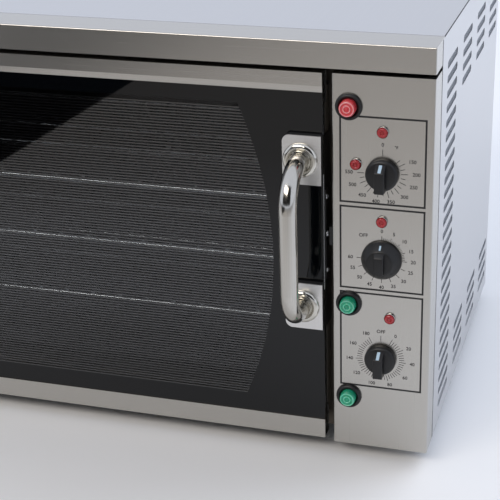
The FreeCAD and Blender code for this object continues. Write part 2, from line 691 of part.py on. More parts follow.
def make_top():
    cover = new_body("top_cover", "left + seam", "front + fascia_top_depth + seam", "top - sheet_gauge")
    outline = ("rect", "0", "0", "body_width - 2 * seam", "body_depth - fascia_top_depth - seam")
    pad(cover, profile(cover, "XY", [outline]), "sheet_gauge")
    fascia = new_body("top_fascia", "left", "front", "top - fascia_height")
    deep, tall, under = "fascia_top_depth", "fascia_height", "fascia_height - sheet_gauge"
    bent = (("0", "0"), ("fascia_lip", "0"), ("fascia_lip", "sheet_gauge"), ("sheet_gauge", "sheet_gauge"),
            ("sheet_gauge", under), (deep, under), (deep, tall), ("0", tall))
    pad(fascia, profile(fascia, "YZ", [("outline", *bent)]), "body_width")
    end = [("rect", "0", "0", "front_depth", tall)]
    pad(fascia, profile(fascia, "YZ", end), "sheet_gauge")
    pad(fascia, profile(fascia, "YZ", end, "body_width"), "sheet_gauge", reverse=True)
    wide, high = size("body_width"), size("fascia_height")

    def front_bend(edge):
        bounds = edge.BoundBox
        level = near(bounds.XLength, wide) and near(bounds.YMax, 0) and near(bounds.ZMin, high)
        return level or upright(edge, 0, 0) or upright(edge, wide, 0)
    rounded(fascia, "edge_radius", front_bend)


KNOBS = (
    ("temperature", "temperature_height", "knob", "thermostat"),
    ("bake", "bake_height", "bake_knob", "bake_timer"),
    ("cook", "cook_height", "knob", "cook_timer"),
)
BUTTONS = (("power", "power_height"), ("hold", "hold_height"), ("light", "light_height"))
PILOTS = (
    ("control_column_middle", "ready_pilot_height"),
    ("cycle_pilot_inset", "cycle_pilot_height"),
    ("control_column_middle", "bake_pilot_height"),
    ("cook_pilot_inset", "cook_pilot_height"),
)


def make_control_panel():
    body = new_body("control_panel", "panel_left", "front", "base")
    outline = ("rect", "0", "0", "panel_width", "panel_height")
    pad(body, profile(body, "XZ", [outline]), "front_depth", reverse=True)
    inside = inset_rect("sheet_gauge", "panel_width", "panel_height")
    pocket(body, profile(body, "XZ", [inside], "-front_depth"), "front_depth - sheet_gauge", reverse=True)
    holes = [("circle", "control_column_middle", up, "spindle_diameter + 4 * clearance")
             for name, up, kind, case in KNOBS]
    holes += [("circle", "button_column", up, "barrel_diameter + 2 * clearance") for name, up in BUTTONS]
    holes += [("circle", x, z, "pilot_body + 2 * clearance") for x, z in PILOTS]
    pocket(body, profile(body, "XZ", holes), "2 * sheet_gauge")
    wide = size("panel_width")
    rounded(body, "edge_radius", lambda edge: upright(edge, 0, 0) or upright(edge, wide, 0))


def make_front_frame():
    body = new_body("front_frame", "left + sheet_gauge", "shell_front", "base")
    width = "panel_left + side_return - left - sheet_gauge"
    outer = ("rect", "0", "0", width, "body_height - 2 * sheet_gauge")
    mouth = ("rect", "cavity_left - sheet_gauge", "cavity_floor", "cav_width", "cav_height")
    pad(body, profile(body, "XZ", [outer, mouth]), "sheet_gauge", reverse=True)


def make_compartment_wall():
    """The upright sheet between the cavity's insulation and the controls."""
    start = "liner_front + sheet_gauge"
    sides = ("sheet_gauge", "back - 2 * sheet_gauge - (%s)" % start, "body_height - 2 * sheet_gauge")
    keep(box("wall", ("compartment_x", start, "base + sheet_gauge"), sides), "compartment_wall")


def make_feet():
    feet = []
    for i, x in enumerate(("left + foot_inset", "right - foot_inset")):
        for j, y in enumerate(("shell_front + foot_inset", "back - foot_inset")):
            foot = doc.addObject("Part::Cone", "foot_%d%d" % (i, j))
            foot.setExpression("Radius1", ex("foot_tip / 2"))
            foot.setExpression("Radius2", ex("foot_diameter / 2"))
            foot.setExpression("Height", ex("foot_height"))
            place(foot, x, y, "0")
            feet.append(foot)
    group("feet", *feet)


# Cavity
def make_liner():
    body = new_body("cavity_liner", "cav_left", "liner_front", "cav_bottom")
    outer = inset_rect("-liner_gauge", "cav_width", "cav_height")
    pad(body, profile(body, "XZ", [outer]), "liner_back - liner_front", reverse=True)
    inside = ("rect", "0", "0", "cav_width", "cav_height")
    pocket(body, profile(body, "XZ", [inside]), "cav_back - liner_front")
    holes = [("circle", "fan_x - cav_left", "fan_z - cav_bottom", "shaft_diameter + 4 * clearance")]
    for side in ("-", "+"):
        ring_x = "fan_x - cav_left %s terminal_pitch / 2" % side
        ring_z = "fan_z - cav_bottom - sqrt((ring_diameter / 2) ^ 2 - (terminal_pitch / 2) ^ 2)"
        holes.append(("circle", ring_x, ring_z, "element_tube + 2 * clearance"))
        grill_x = "fan_x - cav_left %s (grill_runs - 1) / 2 * grill_pitch" % side
        holes.append(("circle", grill_x, "cav_height - grill_drop", "element_tube + 2 * clearance"))
    pocket(body, profile(body, "XZ", holes, "-(cav_back - liner_front) + liner_gauge"), "3 * liner_gauge")
    lamp = ("circle", "lamp_y - liner_front", "lamp_z - cav_bottom", "lamp_opening")
    pocket(body, profile(body, "YZ", [lamp], "cav_width + 2 * liner_gauge"), "3 * liner_gauge")


def make_insulation():
    start, depth = "liner_front + sheet_gauge", "liner_back - liner_front - 2 * sheet_gauge"
    low, tall = "base + pan_wall", "top - 2 * sheet_gauge - base - pan_wall"
    left_side = ("cavity_left - sheet_gauge - insulation_gap", depth, tall)
    over = ("cav_width", depth, "cavity_head - sheet_gauge - insulation_gap")
    under = ("cav_width", depth, "cavity_floor - sheet_gauge - insulation_gap")
    right_side = ("compartment_gap - insulation_gap", depth, tall)
    behind = ("compartment_x - left - sheet_gauge", "rear_insulation", tall)
    slabs = [
        box("left_slab", ("left + sheet_gauge", start, low), left_side),
        box("top_slab", ("cav_left", start, "cav_top + insulation_gap"), over),
        box("floor_slab", ("cav_left", start, "base + sheet_gauge"), under),
    ]
    right_slab = box("right_slab", ("cav_right + insulation_gap", start, low), right_side)
    lamp_hole = rod("lamp_hole", "x", ("cav_right", "lamp_y", "lamp_z"), "lamp_cup + insulation_gap",
                    "compartment_gap * 2")
    slabs.append(cut("right_slab_cut", right_slab, lamp_hole))
    rear_y = "liner_back + terminal_length + liner_gauge"
    rear_slab = box("rear_slab", ("left + sheet_gauge", rear_y, low), behind)
    motor_hole = rod("motor_hole", "y", ("fan_x", "cav_back", "fan_z"), "motor_flange + 2 * motor_clearance",
                     "cavity_rear")
    slabs.append(cut("rear_slab_cut", rear_slab, motor_hole))
    group("insulation_slabs", *slabs)


def make_baffle():
    """The fan's cover: folded top and bottom, open at its sides, with a sunburst air intake."""
    body = new_body("fan_baffle", "fan_x", "baffle_y", "fan_z")
    width, height = "cav_width - 2 * baffle_side", "cav_height - baffle_head"
    corner_x, corner_z = "-(%s) / 2" % width, "-(%s) / 2" % height
    outline = ("rect", corner_x, corner_z, width, height)
    pad(body, profile(body, "XZ", [outline]), "baffle_front", reverse=True)
    inside = ("rect", corner_x + " - liner_gauge", corner_z + " + liner_gauge", width + " + 2 * liner_gauge",
              height + " - 2 * liner_gauge")
    pocket(body, profile(body, "XZ", [inside], "-baffle_front"), "baffle_front - liner_gauge", reverse=True)
    pocket(body, profile(body, "XZ", [("circle", "0", "0", "intake_inner")]), "2 * liner_gauge")
    sketch = profile(body, "XZ", [("slot", "intake_inner", "0", "intake_length", "intake_width")])
    first = pocket(body, sketch, "2 * liner_gauge")
    burst = body.newObject("PartDesign::PolarPattern", "intake")
    burst.Originals = [first]
    burst.Axis = (sketch, ["N_Axis"])
    burst.Angle = 360
    burst.setExpression("Occurrences", ex("intake_slots"))
    body.Tip = burst


def make_fan():
    wheel = new_body("fan_wheel", "fan_x", "fan_y", "fan_z", FACING_FRONT)
    bore = ("circle", "0", "0", "shaft_diameter + clearance")
    pad(wheel, profile(wheel, "XY", [("circle", "0", "0", "fan_diameter"), bore]), "fan_gauge")
    pad(wheel, profile(wheel, "XY", [("circle", "0", "0", "hub_diameter"), bore]), "fan_depth - fan_gauge")
    root = "fan_diameter / 2 - blade_length - fan_gauge"
    sketch = profile(wheel, "XY", [("rect", root, "-fan_gauge / 2", "blade_length", "fan_gauge")])
    first = pad(wheel, sketch, "fan_depth + fan_gauge")
    ring = wheel.newObject("PartDesign::PolarPattern", "blades")
    ring.Originals = [first]
    ring.Axis = (sketch, ["N_Axis"])
    ring.Angle = 360
    ring.setExpression("Occurrences", ex("fan_blades"))
    wheel.Tip = ring
    shaft = rod("shaft", "y", ("fan_x", "fan_y - fan_depth", "fan_z"), "shaft_diameter",
                "fan_depth + fan_rear_gap + liner_gauge + motor_length / 2")
    keep(shaft, "fan_shaft")


def make_motor():
    start = ("fan_x", "liner_back", "fan_z")
    plate = rod("motor_plate", "y", start, "motor_flange", "motor_flange_gauge")
    can = rod("motor_can", "y", start, "motor_diameter", "motor_length")
    cap = rod("motor_cap_rod", "y", start, "motor_cap", "motor_length + motor_cap_rise")
    bore = rod("motor_bore", "y", ("fan_x", "cav_back", "fan_z"), "shaft_diameter + 2 * clearance",
               "motor_length / 2 + 3 * liner_gauge")
    keep(cut("motor", fuse("motor_solid", plate, can, cap), bore), "fan_motor")


def make_elements():
    tube, half = size("element_tube"), size("terminal_pitch") / 2
    radius = size("ring_diameter") / 2
    ring_y, end_y = size("cav_back") - size("ring_offset"), size("liner_back") + size("terminal_length")
    drop = math.sqrt(radius ** 2 - half ** 2)
    hub = Vector(size("fan_x"), ring_y, size("fan_z"))
    left_end, right_end = hub + Vector(-half, 0, -drop), hub + Vector(half, 0, -drop)
    arc = Part.Wire(Part.Arc(left_end, hub + Vector(0, 0, radius), right_end).toShape())
    start = Part.Wire(Part.makeCircle(tube / 2, left_end, Vector(-drop, 0, half)))
    ring = arc.makePipeShell([start], True, False)
    lead = Vector(0, tube / 2, 0)
    legs = [bar(end - lead, Vector(end.x, end_y, end.z), tube) for end in (left_end, right_end)]
    shaped("ring_element", ring.multiFuse(legs).removeSplitter())
    pitch, height = size("grill_pitch"), size("cav_top") - size("grill_drop")
    near_y, loop_y = size("front") + size("grill_front"), size("cav_back") - size("grill_rear")
    runs, points = int(size("grill_runs")), []
    for i in range(runs):
        x = hub.x + (i - (runs - 1) / 2) * pitch
        rear_y = end_y if i in (0, runs - 1) else loop_y
        for y in (near_y, rear_y) if i % 2 else (rear_y, near_y):
            points.append(Vector(x, y, height))
    shaped("grill_element", bent_rod(points, size("grill_bend"), tube))


def tier_height(number):
    """Centre height of the shelf rod at a shelf position."""
    return size("cav_bottom") + size("tier_first") + number * size("tier_pitch")


def make_guide(label, wall, inward):
    """A welded ladder of rods that carries the shelves on one side of the cavity."""
    rod_d, stand = size("guide_rod"), size("guide_stand")
    first_y = size("front") + size("shelf_front")
    last_y = first_y + size("shelf_depth")
    post_x = wall + inward * stand
    rest_x = wall + inward * (stand + rod_d - size("weld_overlap"))
    low = tier_height(0) - size("tier_pitch") / 2
    high = tier_height(int(size("tier_count")) - 1) + size("shelf_rod")
    posts, rungs = [], []
    for y in (first_y + size("guide_end"), last_y - size("guide_end")):
        posts.append(bar(Vector(post_x, y, low), Vector(post_x, y, high), rod_d))
        for z in (low + rod_d, high - rod_d):
            posts.append(bar(Vector(wall, y, z), Vector(post_x, y, z), rod_d))
    for number in range(int(size("tier_count"))):
        z = tier_height(number) - size("shelf_rod") / 2 - size("clearance") - rod_d / 2
        rungs.append(bar(Vector(rest_x, first_y, z), Vector(rest_x, last_y, z), rod_d))
    shaped(label, posts[0].multiFuse(posts[1:] + rungs))


def make_shelf(label, number):
    """A wire shelf: a bent frame rod with cross wires laid on its front and rear runs."""
    rod_d, wire_d, gap = size("shelf_rod"), size("shelf_wire"), size("shelf_side_gap")
    z = tier_height(number)
    x_low, x_high = size("cav_left") + gap, size("cav_right") - gap
    y_low = size("front") + size("shelf_front")
    y_high = y_low + size("shelf_depth")
    corners = ((x_high, y_low), (x_high, y_high), (x_low, y_high), (x_low, y_low))
    frame = bent_rod([Vector(x, y, z) for x, y in corners], size("shelf_corner"), rod_d, closed=True)
    stays = [bar(Vector(x_low, y, z), Vector(x_high, y, z), size("shelf_stay"))
             for y in (y_low + size("stay_inset"), y_high - size("stay_inset"))]
    count = int((x_high - x_low) / size("shelf_wire_pitch"))
    lift = rod_d / 2 + wire_d / 2 - size("weld_overlap")
    end = size("shelf_wire_end")
    for i in range(count):
        x = x_low + (x_high - x_low) * (i + 0.5) / count
        stays.append(bar(Vector(x, y_low - end, z + lift), Vector(x, y_high + end, z + lift), wire_d))
    shaped(label, frame.multiFuse(stays))


def make_lamp():
    """Oven lamp in the right wall: a cup behind the sheet, a bulb and a domed glass."""
    holder = new_body("lamp_holder", "cav_right + liner_gauge", "lamp_y", "lamp_z", TURN["x"])
    wall, floor = "lamp_cup / 2 - lamp_cup_wall", "lamp_depth - lamp_cup_wall"
    turned(holder, (("0", floor), (wall, floor), (wall, "0"), ("lamp_cup / 2", "0"),
                    ("lamp_cup / 2", "lamp_depth"), ("0", "lamp_depth")))
    bulb = new_body("lamp_bulb", "cav_right + liner_gauge", "lamp_y", "lamp_z", TURN["x"])
    turned(bulb, (("0", floor), ("bulb_diameter / 3", floor), ("bulb_diameter / 3", "lamp_depth / 2"),
                  ("bulb_diameter / 2", "lamp_depth / 4"), ("bulb_diameter * 0.4", "-bulb_proud * 0.4"),
                  ("bulb_diameter * 0.15", "-bulb_proud * 0.85"), ("0", "-bulb_proud")))
    glass = new_body("lamp_glass", "cav_right", "lamp_y", "lamp_z", TURN["x"])
    rim, dome, wall = "lamp_diameter / 2", "lamp_dome", "lamp_glass_wall"
    outside = ((rim, "0"), (rim, "-%s / 4" % dome), (rim + " * 0.85", "-%s * 0.7" % dome),
               (rim + " * 0.55", "-%s * 0.93" % dome), ("0", "-" + dome))
    inside = (("0", "%s - %s" % (wall, dome)), (rim + " * 0.5", "%s - %s * 0.93" % (wall, dome)),
              (rim + " * 0.75", "%s - %s * 0.7" % (wall, dome)), ("%s - 1.5 * %s" % (rim, wall), "0"))
    turned(glass, outside + inside)


def make_probe():
    """The thermostat's sensing bulb, held off the right wall by two clips."""
    x, start, z = "cav_right - probe_diameter", "front + probe_back", "cav_top - probe_drop"
    parts = [rod("probe", "y", (x, start, z), "probe_diameter", "probe_length")]
    for i, share in enumerate(("0.2", "0.8")):
        corner = (x, "%s + probe_length * %s" % (start, share), z + " - probe_clip / 2")
        parts.append(box("probe_clip_%d" % i, corner, ("probe_diameter", "probe_clip", "probe_clip")))
    keep(fuse("probe_and_clips", *parts), "thermostat_probe")


def make_gasket():
    body = new_body("door_gasket", "cav_left", "shell_front", "cav_bottom")
    rings = [inset_rect("-(%s)" % margin, "cav_width", "cav_height")
             for margin in ("gasket_margin", "gasket_margin + gasket_width")]
    pad(body, profile(body, "XZ", rings), "front_depth - door_thickness - clearance")


# Door
BOLT_HOLE = "bolt_diameter + 2 * clearance"


def make_rail(label, z, up, face_edge):
    """A channel that holds one end of the glass; up is 1 when its closed side is on top.

    The free edge of its face is a list of points: depth behind the face and distance from z.
    """
    body = new_body(label, "door_left", "front", z)
    gauge, deep, inner = "sheet_gauge", "rail_depth", "rail_depth - sheet_gauge"
    web, leg = ("-%d * (%s)" % (up, height) for height in (gauge, "rail_back_height"))
    edge = [(depth, "-%d * (%s)" % (up, height)) for depth, height in face_edge]
    channel = (("0", "0"), (deep, "0"), (deep, leg), (inner, leg), (inner, web), (gauge, web), *edge)
    pad(body, profile(body, "YZ", [("outline", *channel)]), "door_width")
    hole = ("circle", "pivot_inset", "pivot_inset", "pin_diameter + 2 * clearance")
    pocket(body, profile(body, "XY", [hole]), "3 * sheet_gauge", reverse=up < 0)


def make_outer_glass():
    pane = new_body("outer_glass", "door_left", "glass_front", "glass_bottom")
    outline = ("rect", "0", "0", "door_width", "glass_height")
    pad(pane, profile(pane, "XZ", [outline]), "glass_thickness", reverse=True)
    bolts = [("circle", "door_width - handle_inset", "handle_z - glass_bottom %s handle_centres / 2" % side,
              BOLT_HOLE) for side in "-+"]
    pocket(pane, profile(pane, "XZ", bolts))


def make_inner_frame():
    """The tray behind the glass, with the inner pane that closes its window."""
    frame = new_body("door_inner_frame", "pivot_x", "front + rail_depth", "inner_frame_bottom")
    width, height = "inner_frame_width", "inner_frame_height"
    pad(frame, profile(frame, "XZ", [("rect", "0", "0", width, height)]), "inner_frame_depth", reverse=True)
    tray = inset_rect("sheet_gauge", width, height)
    pocket(frame, profile(frame, "XZ", [tray]), "inner_frame_depth - sheet_gauge")
    pocket(frame, profile(frame, "XZ", [inset_rect("inner_frame_border", width, height)]))
    lap = "inner_frame_border - inner_glass_lap"
    pane_y = "front + door_thickness - sheet_gauge - inner_glass_thickness"
    sides = (width + " - 2 * (%s)" % lap, "inner_glass_thickness", height + " - 2 * (%s)" % lap)
    pane = box("inner_pane", ("pivot_x + " + lap, pane_y, "inner_frame_bottom + " + lap), sides)
    keep(pane, "inner_glass")


def make_stile():
    """The black angle on the door's free edge that backs the handle and carries the catch."""
    start, foot = "glass_front + glass_thickness", "catch_z - stile_height / 2"
    body = new_body("latch_stile", "door_right", start, foot)
    deep = "door_thickness - sheet_gauge - glass_thickness"
    angle = (("0", "0"), ("0", deep), ("-stile_gauge", deep), ("-stile_gauge", "stile_gauge"),
             ("-stile_width", "stile_gauge"), ("-stile_width", "0"))
    pad(body, profile(body, "XY", [("outline", *angle)]), "stile_height")
    barrel = ("circle", "catch_y - (%s)" % start, "stile_height / 2", "catch_barrel + clearance")
    pocket(body, profile(body, "YZ", [barrel]), "2 * stile_gauge")
    bolts = [("circle", "-handle_inset", "handle_z - (%s) %s handle_centres / 2" % (foot, side), BOLT_HOLE)
             for side in "-+"]
    pocket(body, profile(body, "XZ", bolts), "2 * stile_gauge")


def handle_foot(label, height, y, depth):
    """A plate or pad with rounded inner corners under one handle foot."""
    body = new_body(label, "door_right", y, height, own_file=False)
    wide, tall = "handle_plate_width", "handle_plate_height"
    outline = ("rect", "-" + wide, "-%s / 2" % tall, wide, tall)
    hole = ("circle", "-handle_inset", "0", BOLT_HOLE)
    pad(body, profile(body, "XZ", [outline, hole]), depth, reverse=True)
    inner_edge = -size("handle_plate_width")

    def inner_corner(edge):
        bounds = edge.BoundBox
        return near(bounds.XMax, inner_edge) and near(bounds.XLength, 0) and near(bounds.ZLength, 0)
    rounded(body, "plate_corner", inner_corner)
    return body


def handle_ring(label, height):
    """The turned ring round one end of the handle tube."""
    ring = new_body(label, "handle_x", "handle_seat", height, FACING_FRONT, own_file=False)
    bore, rim, thick = "handle_tube / 2 + clearance / 2", "handle_flange / 2", "flange_thickness"
    turned(ring, ((bore, "0"), (rim, "0"), (rim, thick + " * 0.4"),
                  (rim + " - flange_bead / 3", thick + " * 0.7"), (rim + " - flange_bead", thick + " * 0.6"),
                  (bore + " + flange_bead / 2", thick), (bore, thick)))
    return ring


def make_handle():
    plates, pads, flanges, bolts = [], [], [], []
    pad_y, bolt_end = "handle_seat + handle_plate_gauge", "glass_front + glass_thickness + stile_gauge"
    for name, side in (("upper", "+"), ("lower", "-")):
        height = "handle_z %s handle_centres / 2" % side
        plates.append(handle_foot("plate_" + name, height, "handle_seat", "handle_plate_gauge"))
        pads.append(handle_foot("pad_" + name, height, pad_y, "handle_spacer"))
        flanges.append(handle_ring("flange_" + name, height))
        shank = rod("bolt_shank_" + name, "y", ("handle_x", "handle_seat", height), "bolt_diameter",
                    bolt_end + " - handle_seat")
        head = rod("bolt_head_" + name, "y", ("handle_x", bolt_end, height), "bolt_head", "bolt_head / 3")
        bolts.append(fuse("bolt_" + name, shank, head))
    group("handle_plates", *plates)
    group("handle_spacers", *pads)
    group("handle_flanges", *flanges)
    group("handle_bolts", *bolts)
    seat, out = size("handle_seat"), size("front") - size("handle_projection")
    high, low = (size("handle_z") + side * size("handle_centres") / 2 for side in (1, -1))
    path = [Vector(size("handle_x"), y, z) for y, z in ((seat, high), (out, high), (out, low), (seat, low))]
    shaped("handle_tube", bent_rod(path, size("handle_bend"), size("handle_tube")))


def make_catch():
    """A spring ball catch in the door's edge."""
    middle = ("catch_y", "catch_z")
    low_corner = ("door_right", "catch_y - catch_plate_width / 2", "catch_z - catch_plate_height / 2")
    solids = [box("catch_plate", low_corner, ("stile_gauge", "catch_plate_width", "catch_plate_height"))]
    rear, reach = "door_right - catch_barrel_length", "catch_barrel_length + stile_gauge"
    solids.append(rod("catch_tube", "x", (rear, *middle), "catch_barrel", reach))
    for i, side in enumerate("+-"):
        start = ("door_right + stile_gauge", "catch_y", "catch_z %s catch_screws / 2" % side)
        solids.append(rod("catch_screw_%d" % i, "x", start, "catch_screw_head", "stile_gauge"))
    bore = rod("catch_bore", "x", (rear + " + stile_gauge", *middle), "ball_diameter + 2 * clearance",
               "catch_barrel_length * 2")
    keep(cut("catch", fuse("catch_solid", *solids), bore), "catch_body")
    ball = doc.addObject("Part::Sphere", "ball")
    ball.setExpression("Radius", ex("ball_diameter / 2"))
    place(ball, "door_right + ball_proud - ball_diameter / 2", *middle)
    plunger = rod("plunger", "x", (rear + " + catch_spring", *middle), "plunger_diameter",
                  "catch_barrel_length - catch_spring")
    keep(fuse("ball_and_plunger", ball, plunger), "catch_ball")


def make_strike():
    """The block on the control column that the catch's ball snaps behind."""
    corner = ("panel_left - strike_proud", "catch_y - strike_width / 2", "catch_z - strike_height / 2")
    block = box("strike_block", corner, ("strike_proud", "strike_width", "strike_height"))
    dimple = doc.addObject("Part::Sphere", "dimple")
    dimple.setExpression("Radius", ex("dimple_radius"))
    place(dimple, "panel_left - strike_proud - dimple_radius + dimple_depth", "catch_y", "catch_z")
    keep(cut("strike", block, dimple), "catch_strike")


def make_hinges():
    """Pivot brackets above and below the door's left edge, each with its pin."""
    brackets = []
    over, under = "door_top + clearance", "door_bottom - clearance - bracket_gauge"
    for name, seat, pin_foot in (("upper", over, over + " - pin_length"), ("lower", under, under)):
        reach = "shell_front - front - bracket_setback"
        plate = box(name + "_plate", ("door_left", "front + bracket_setback", seat),
                    ("bracket_width", reach, "bracket_gauge"))
        leg = box(name + "_leg", ("door_left", "shell_front - bracket_gauge", seat),
                  ("bracket_width", "bracket_gauge", "bracket_leg"))
        stud = rod(name + "_pin", "z", ("pivot_x", "pivot_y", pin_foot), "pin_diameter",
                   "pin_length + bracket_gauge")
        brackets.append(fuse(name + "_hinge", plate, leg, stud))
    group("hinge_brackets", *brackets)


# Controls
def make_knob(name, height, kind, case):
    """A knob, its spindle and the thermostat or timer behind it; kind starts the knob's size names."""
    z = "base + " + height
    knob = new_body(name + "_knob", "column_x", "front - knob_gap", z, FACING_FRONT)
    parts = ("diameter / 2", "shoulder / 2", "skirt", "nose", "crest", "tail")
    rim, shoulder, skirt, nose, crest, tail = ("%s_%s" % (kind, part) for part in parts)
    swell = ("0.7 * %s + 0.3 * %s" % (rim, shoulder), "0.4 * knob_rim + 0.6 * " + skirt)
    turned(knob, (("0", "0"), (rim, "0"), (rim, "knob_rim"), swell, (shoulder, skirt), ("0", skirt)))
    grip = (("-" + tail, "knob_rim"), (nose, "knob_rim"), (nose, skirt), (crest, "knob_height"),
            ("-" + tail, "knob_height"))
    pad(knob, profile(knob, "YZ", [("outline", *grip)], "-knob_bar / 2"), "knob_bar")
    bore = profile(knob, "XY", [("circle", "0", "0", "spindle_diameter + clearance")])
    pocket(knob, bore, "spindle_reach + clearance", reverse=True)
    spindle = rod(name + "_rod", "y", ("column_x", "front - knob_gap - spindle_reach", z), "spindle_diameter",
                  "knob_gap + spindle_reach + spindle_depth")
    keep(spindle, name + "_spindle")
    corner = ("column_x - control_case / 2", "front + sheet_gauge", z + " - control_case / 2")
    square = box(case + "_case", corner, ("control_case", "control_case_depth", "control_case"))
    can = rod(case + "_can", "y", ("column_x", "front + sheet_gauge", z), "control_can", "control_can_depth")
    bearing = rod(case + "_bore", "y", ("column_x", "front", z), "spindle_diameter + 2 * clearance",
                  "spindle_depth + 2 * sheet_gauge")
    keep(cut(case + "_solid", fuse(case + "_body", square, can), bearing), case)


def make_buttons():
    collars = []
    bore, floor = "button_diameter / 2 + clearance", "barrel_floor - barrel_length"
    for name, height in BUTTONS:
        z = "base + " + height
        collar = new_body(name + "_collar", "button_x", "front", z, FACING_FRONT, own_file=False)
        rim, barrel, proud = "bezel_diameter / 2", "barrel_diameter / 2", "bezel_height"
        crest = ["bezel_crest / 2 %s bezel_round / 3" % side for side in "-+"]
        turned(collar, ((bore, proud + " * 0.5"), (crest[0], proud), (crest[1], proud),
                        (rim, proud + " * 0.4"), (rim, "0"), (barrel, "0"), (barrel, "-barrel_length"),
                        ("0", "-barrel_length"), ("0", floor), (bore, floor)))
        collars.append(collar)
        cap = new_body(name + "_button", "button_x", "front", z, FACING_FRONT)
        rim, proud, foot = "button_diameter / 2", "button_proud", "2 * button_travel - barrel_length"
        ring, dish = rim + " - cap_rim", proud + " - cap_recess"
        turned(cap, (("0", foot), (rim, foot), (rim, dish), (rim + " - cap_recess", proud), (ring, proud),
                     (ring + " - cap_recess", dish), ("0", dish)))
    group("button_bodies", *collars)


def make_pilots():
    lamps = []
    body_r, rim, proud, foot = "pilot_body / 2", "pilot_diameter / 2", "pilot_proud", "-pilot_body_length"
    for i, (x, z) in enumerate(PILOTS):
        spot = ("panel_left + " + x, "front", "base + " + z)
        lamp = new_body("pilot_%d" % i, *spot, FACING_FRONT, own_file=False)
        turned(lamp, (("0", foot), (body_r, foot), (body_r, "0"), (rim, "0"), (rim, proud + " * 0.4"),
                      (rim + " - pilot_round / 3", proud + " * 0.8"), (rim + " - pilot_round", proud),
                      ("0", proud)))
        lamps.append(lamp)
    group("pilot_lights", *lamps)


def make_mains():
    """The inlet gland on the rear panel and the terminal block inside."""
    gland = new_body("cable_gland", "gland_x", "back", "gland_z", TURN["y"])
    bore, rim, neck, proud = "gland_bore / 2", "gland_diameter / 2", "gland_neck / 2", "gland_proud"
    turned(gland, ((bore, "-" + proud), (neck, "-" + proud), (neck, "0"), (rim, "0"), (rim, proud + " * 0.4"),
                   (rim + " - sheet_gauge", proud + " * 0.5"), (neck, proud), (bore, proud)))
    x, y = "gland_x - terminal_block_length / 2", "back - gland_inset - terminal_block_depth"
    sides = ("terminal_block_length", "terminal_block_depth", "terminal_block_height")
    block = box("block", (x, y, "base + sheet_gauge"), sides)
    pitch, middle_y = "terminal_block_length / terminal_poles", y + " + terminal_block_depth / 2"
    wells = []
    for i in range(int(size("terminal_poles"))):
        place_of = ("%s + (%d + 0.5) * %s" % (x, i, pitch), middle_y, "base + terminal_block_height / 2")
        wells.append(rod("well_%d" % i, "z", place_of, pitch + " * 0.6", "terminal_block_height"))
    keep(cut("terminals", block, *wells), "terminal_block")


make_base_pan()
make_side_panel("left_side_panel", "left", 1)
make_right_side()
make_rear_panel()
make_rear_screws()
make_top()
make_control_panel()
make_front_frame()
make_compartment_wall()
make_feet()
make_liner()
make_insulation()
make_baffle()
make_fan()
make_motor()
make_elements()
make_guide("shelf_guide_left", size("cav_left"), 1)
make_guide("shelf_guide_right", size("cav_right"), -1)
for number, label in enumerate(("shelf_lower", "shelf_middle", "shelf_upper")):
    make_shelf(label, number)
make_lamp()
make_probe()
make_gasket()
make_rail("door_top_rail", "door_top", 1, (("sheet_gauge", "top_rail"), ("rail_lip_back", "top_rail"),
                                           ("0", "top_rail - rail_lip")))
make_rail("door_bottom_rail", "door_bottom", -1, (("sheet_gauge", "bottom_rail"), ("0", "bottom_rail")))
make_outer_glass()
make_inner_frame()
make_stile()
make_handle()
make_catch()
make_strike()
make_hinges()
for knob in KNOBS:
    make_knob(*knob)
make_buttons()
make_pilots()
make_mains()
doc.recompute()

# Every object and piece is checked before anything is written
for obj in doc.Objects:
    if "Invalid" in obj.State or "Error" in obj.State:
        raise RuntimeError("%s failed: %s" % (obj.Name, obj.State))
for piece in pieces:
    if piece.Shape.isNull() or not piece.Shape.isValid() or not piece.Shape.Solids:
        raise RuntimeError("%s has no sound solid" % piece.Label)

os.makedirs("parts", exist_ok=True)
for piece in pieces:
    piece.Shape.exportStep("parts/%s.step" % piece.Label)
    print(piece.Label, len(piece.Shape.Solids), round(piece.Shape.Volume, 1))
print(len(pieces), "pieces")
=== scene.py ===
# %% [markdown]
# # An electric convection oven for the worktop
# The imported CAD model brings every solid of the oven in metres, with one empty for each body that
# moves. This lesson gives those solids their real finishes, adds the fine pieces that solids are
# too coarse for, and sets a small photo studio round them. The dressed oven has to stay inside it.

# %% Load the frame
import math

import bmesh
import bpy
from mathutils import Matrix, Vector


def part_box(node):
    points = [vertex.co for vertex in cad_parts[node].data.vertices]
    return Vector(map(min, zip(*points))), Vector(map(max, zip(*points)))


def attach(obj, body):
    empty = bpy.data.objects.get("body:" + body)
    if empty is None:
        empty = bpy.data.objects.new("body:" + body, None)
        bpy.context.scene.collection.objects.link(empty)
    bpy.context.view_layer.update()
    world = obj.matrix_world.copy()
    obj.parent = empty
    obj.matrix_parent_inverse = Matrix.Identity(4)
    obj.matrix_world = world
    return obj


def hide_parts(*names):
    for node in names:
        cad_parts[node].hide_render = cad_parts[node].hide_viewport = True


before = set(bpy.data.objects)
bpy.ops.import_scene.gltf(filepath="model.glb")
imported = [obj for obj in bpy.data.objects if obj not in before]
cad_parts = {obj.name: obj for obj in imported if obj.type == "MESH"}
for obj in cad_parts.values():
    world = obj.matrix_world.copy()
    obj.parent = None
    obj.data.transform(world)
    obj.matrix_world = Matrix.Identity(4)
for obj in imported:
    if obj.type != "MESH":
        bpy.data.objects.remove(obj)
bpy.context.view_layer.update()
MM = 0.001

# %% [markdown]
# ## Colours and nodes
# Hex colours are written as the eye sees them, in sRGB, while the shader works in linear light, so
# one function turns the first into the second. A second one adds any node: it takes the settings
# of the node and what its sockets are linked to. A third starts a finish with the numbers that are
# the same all over its surface.

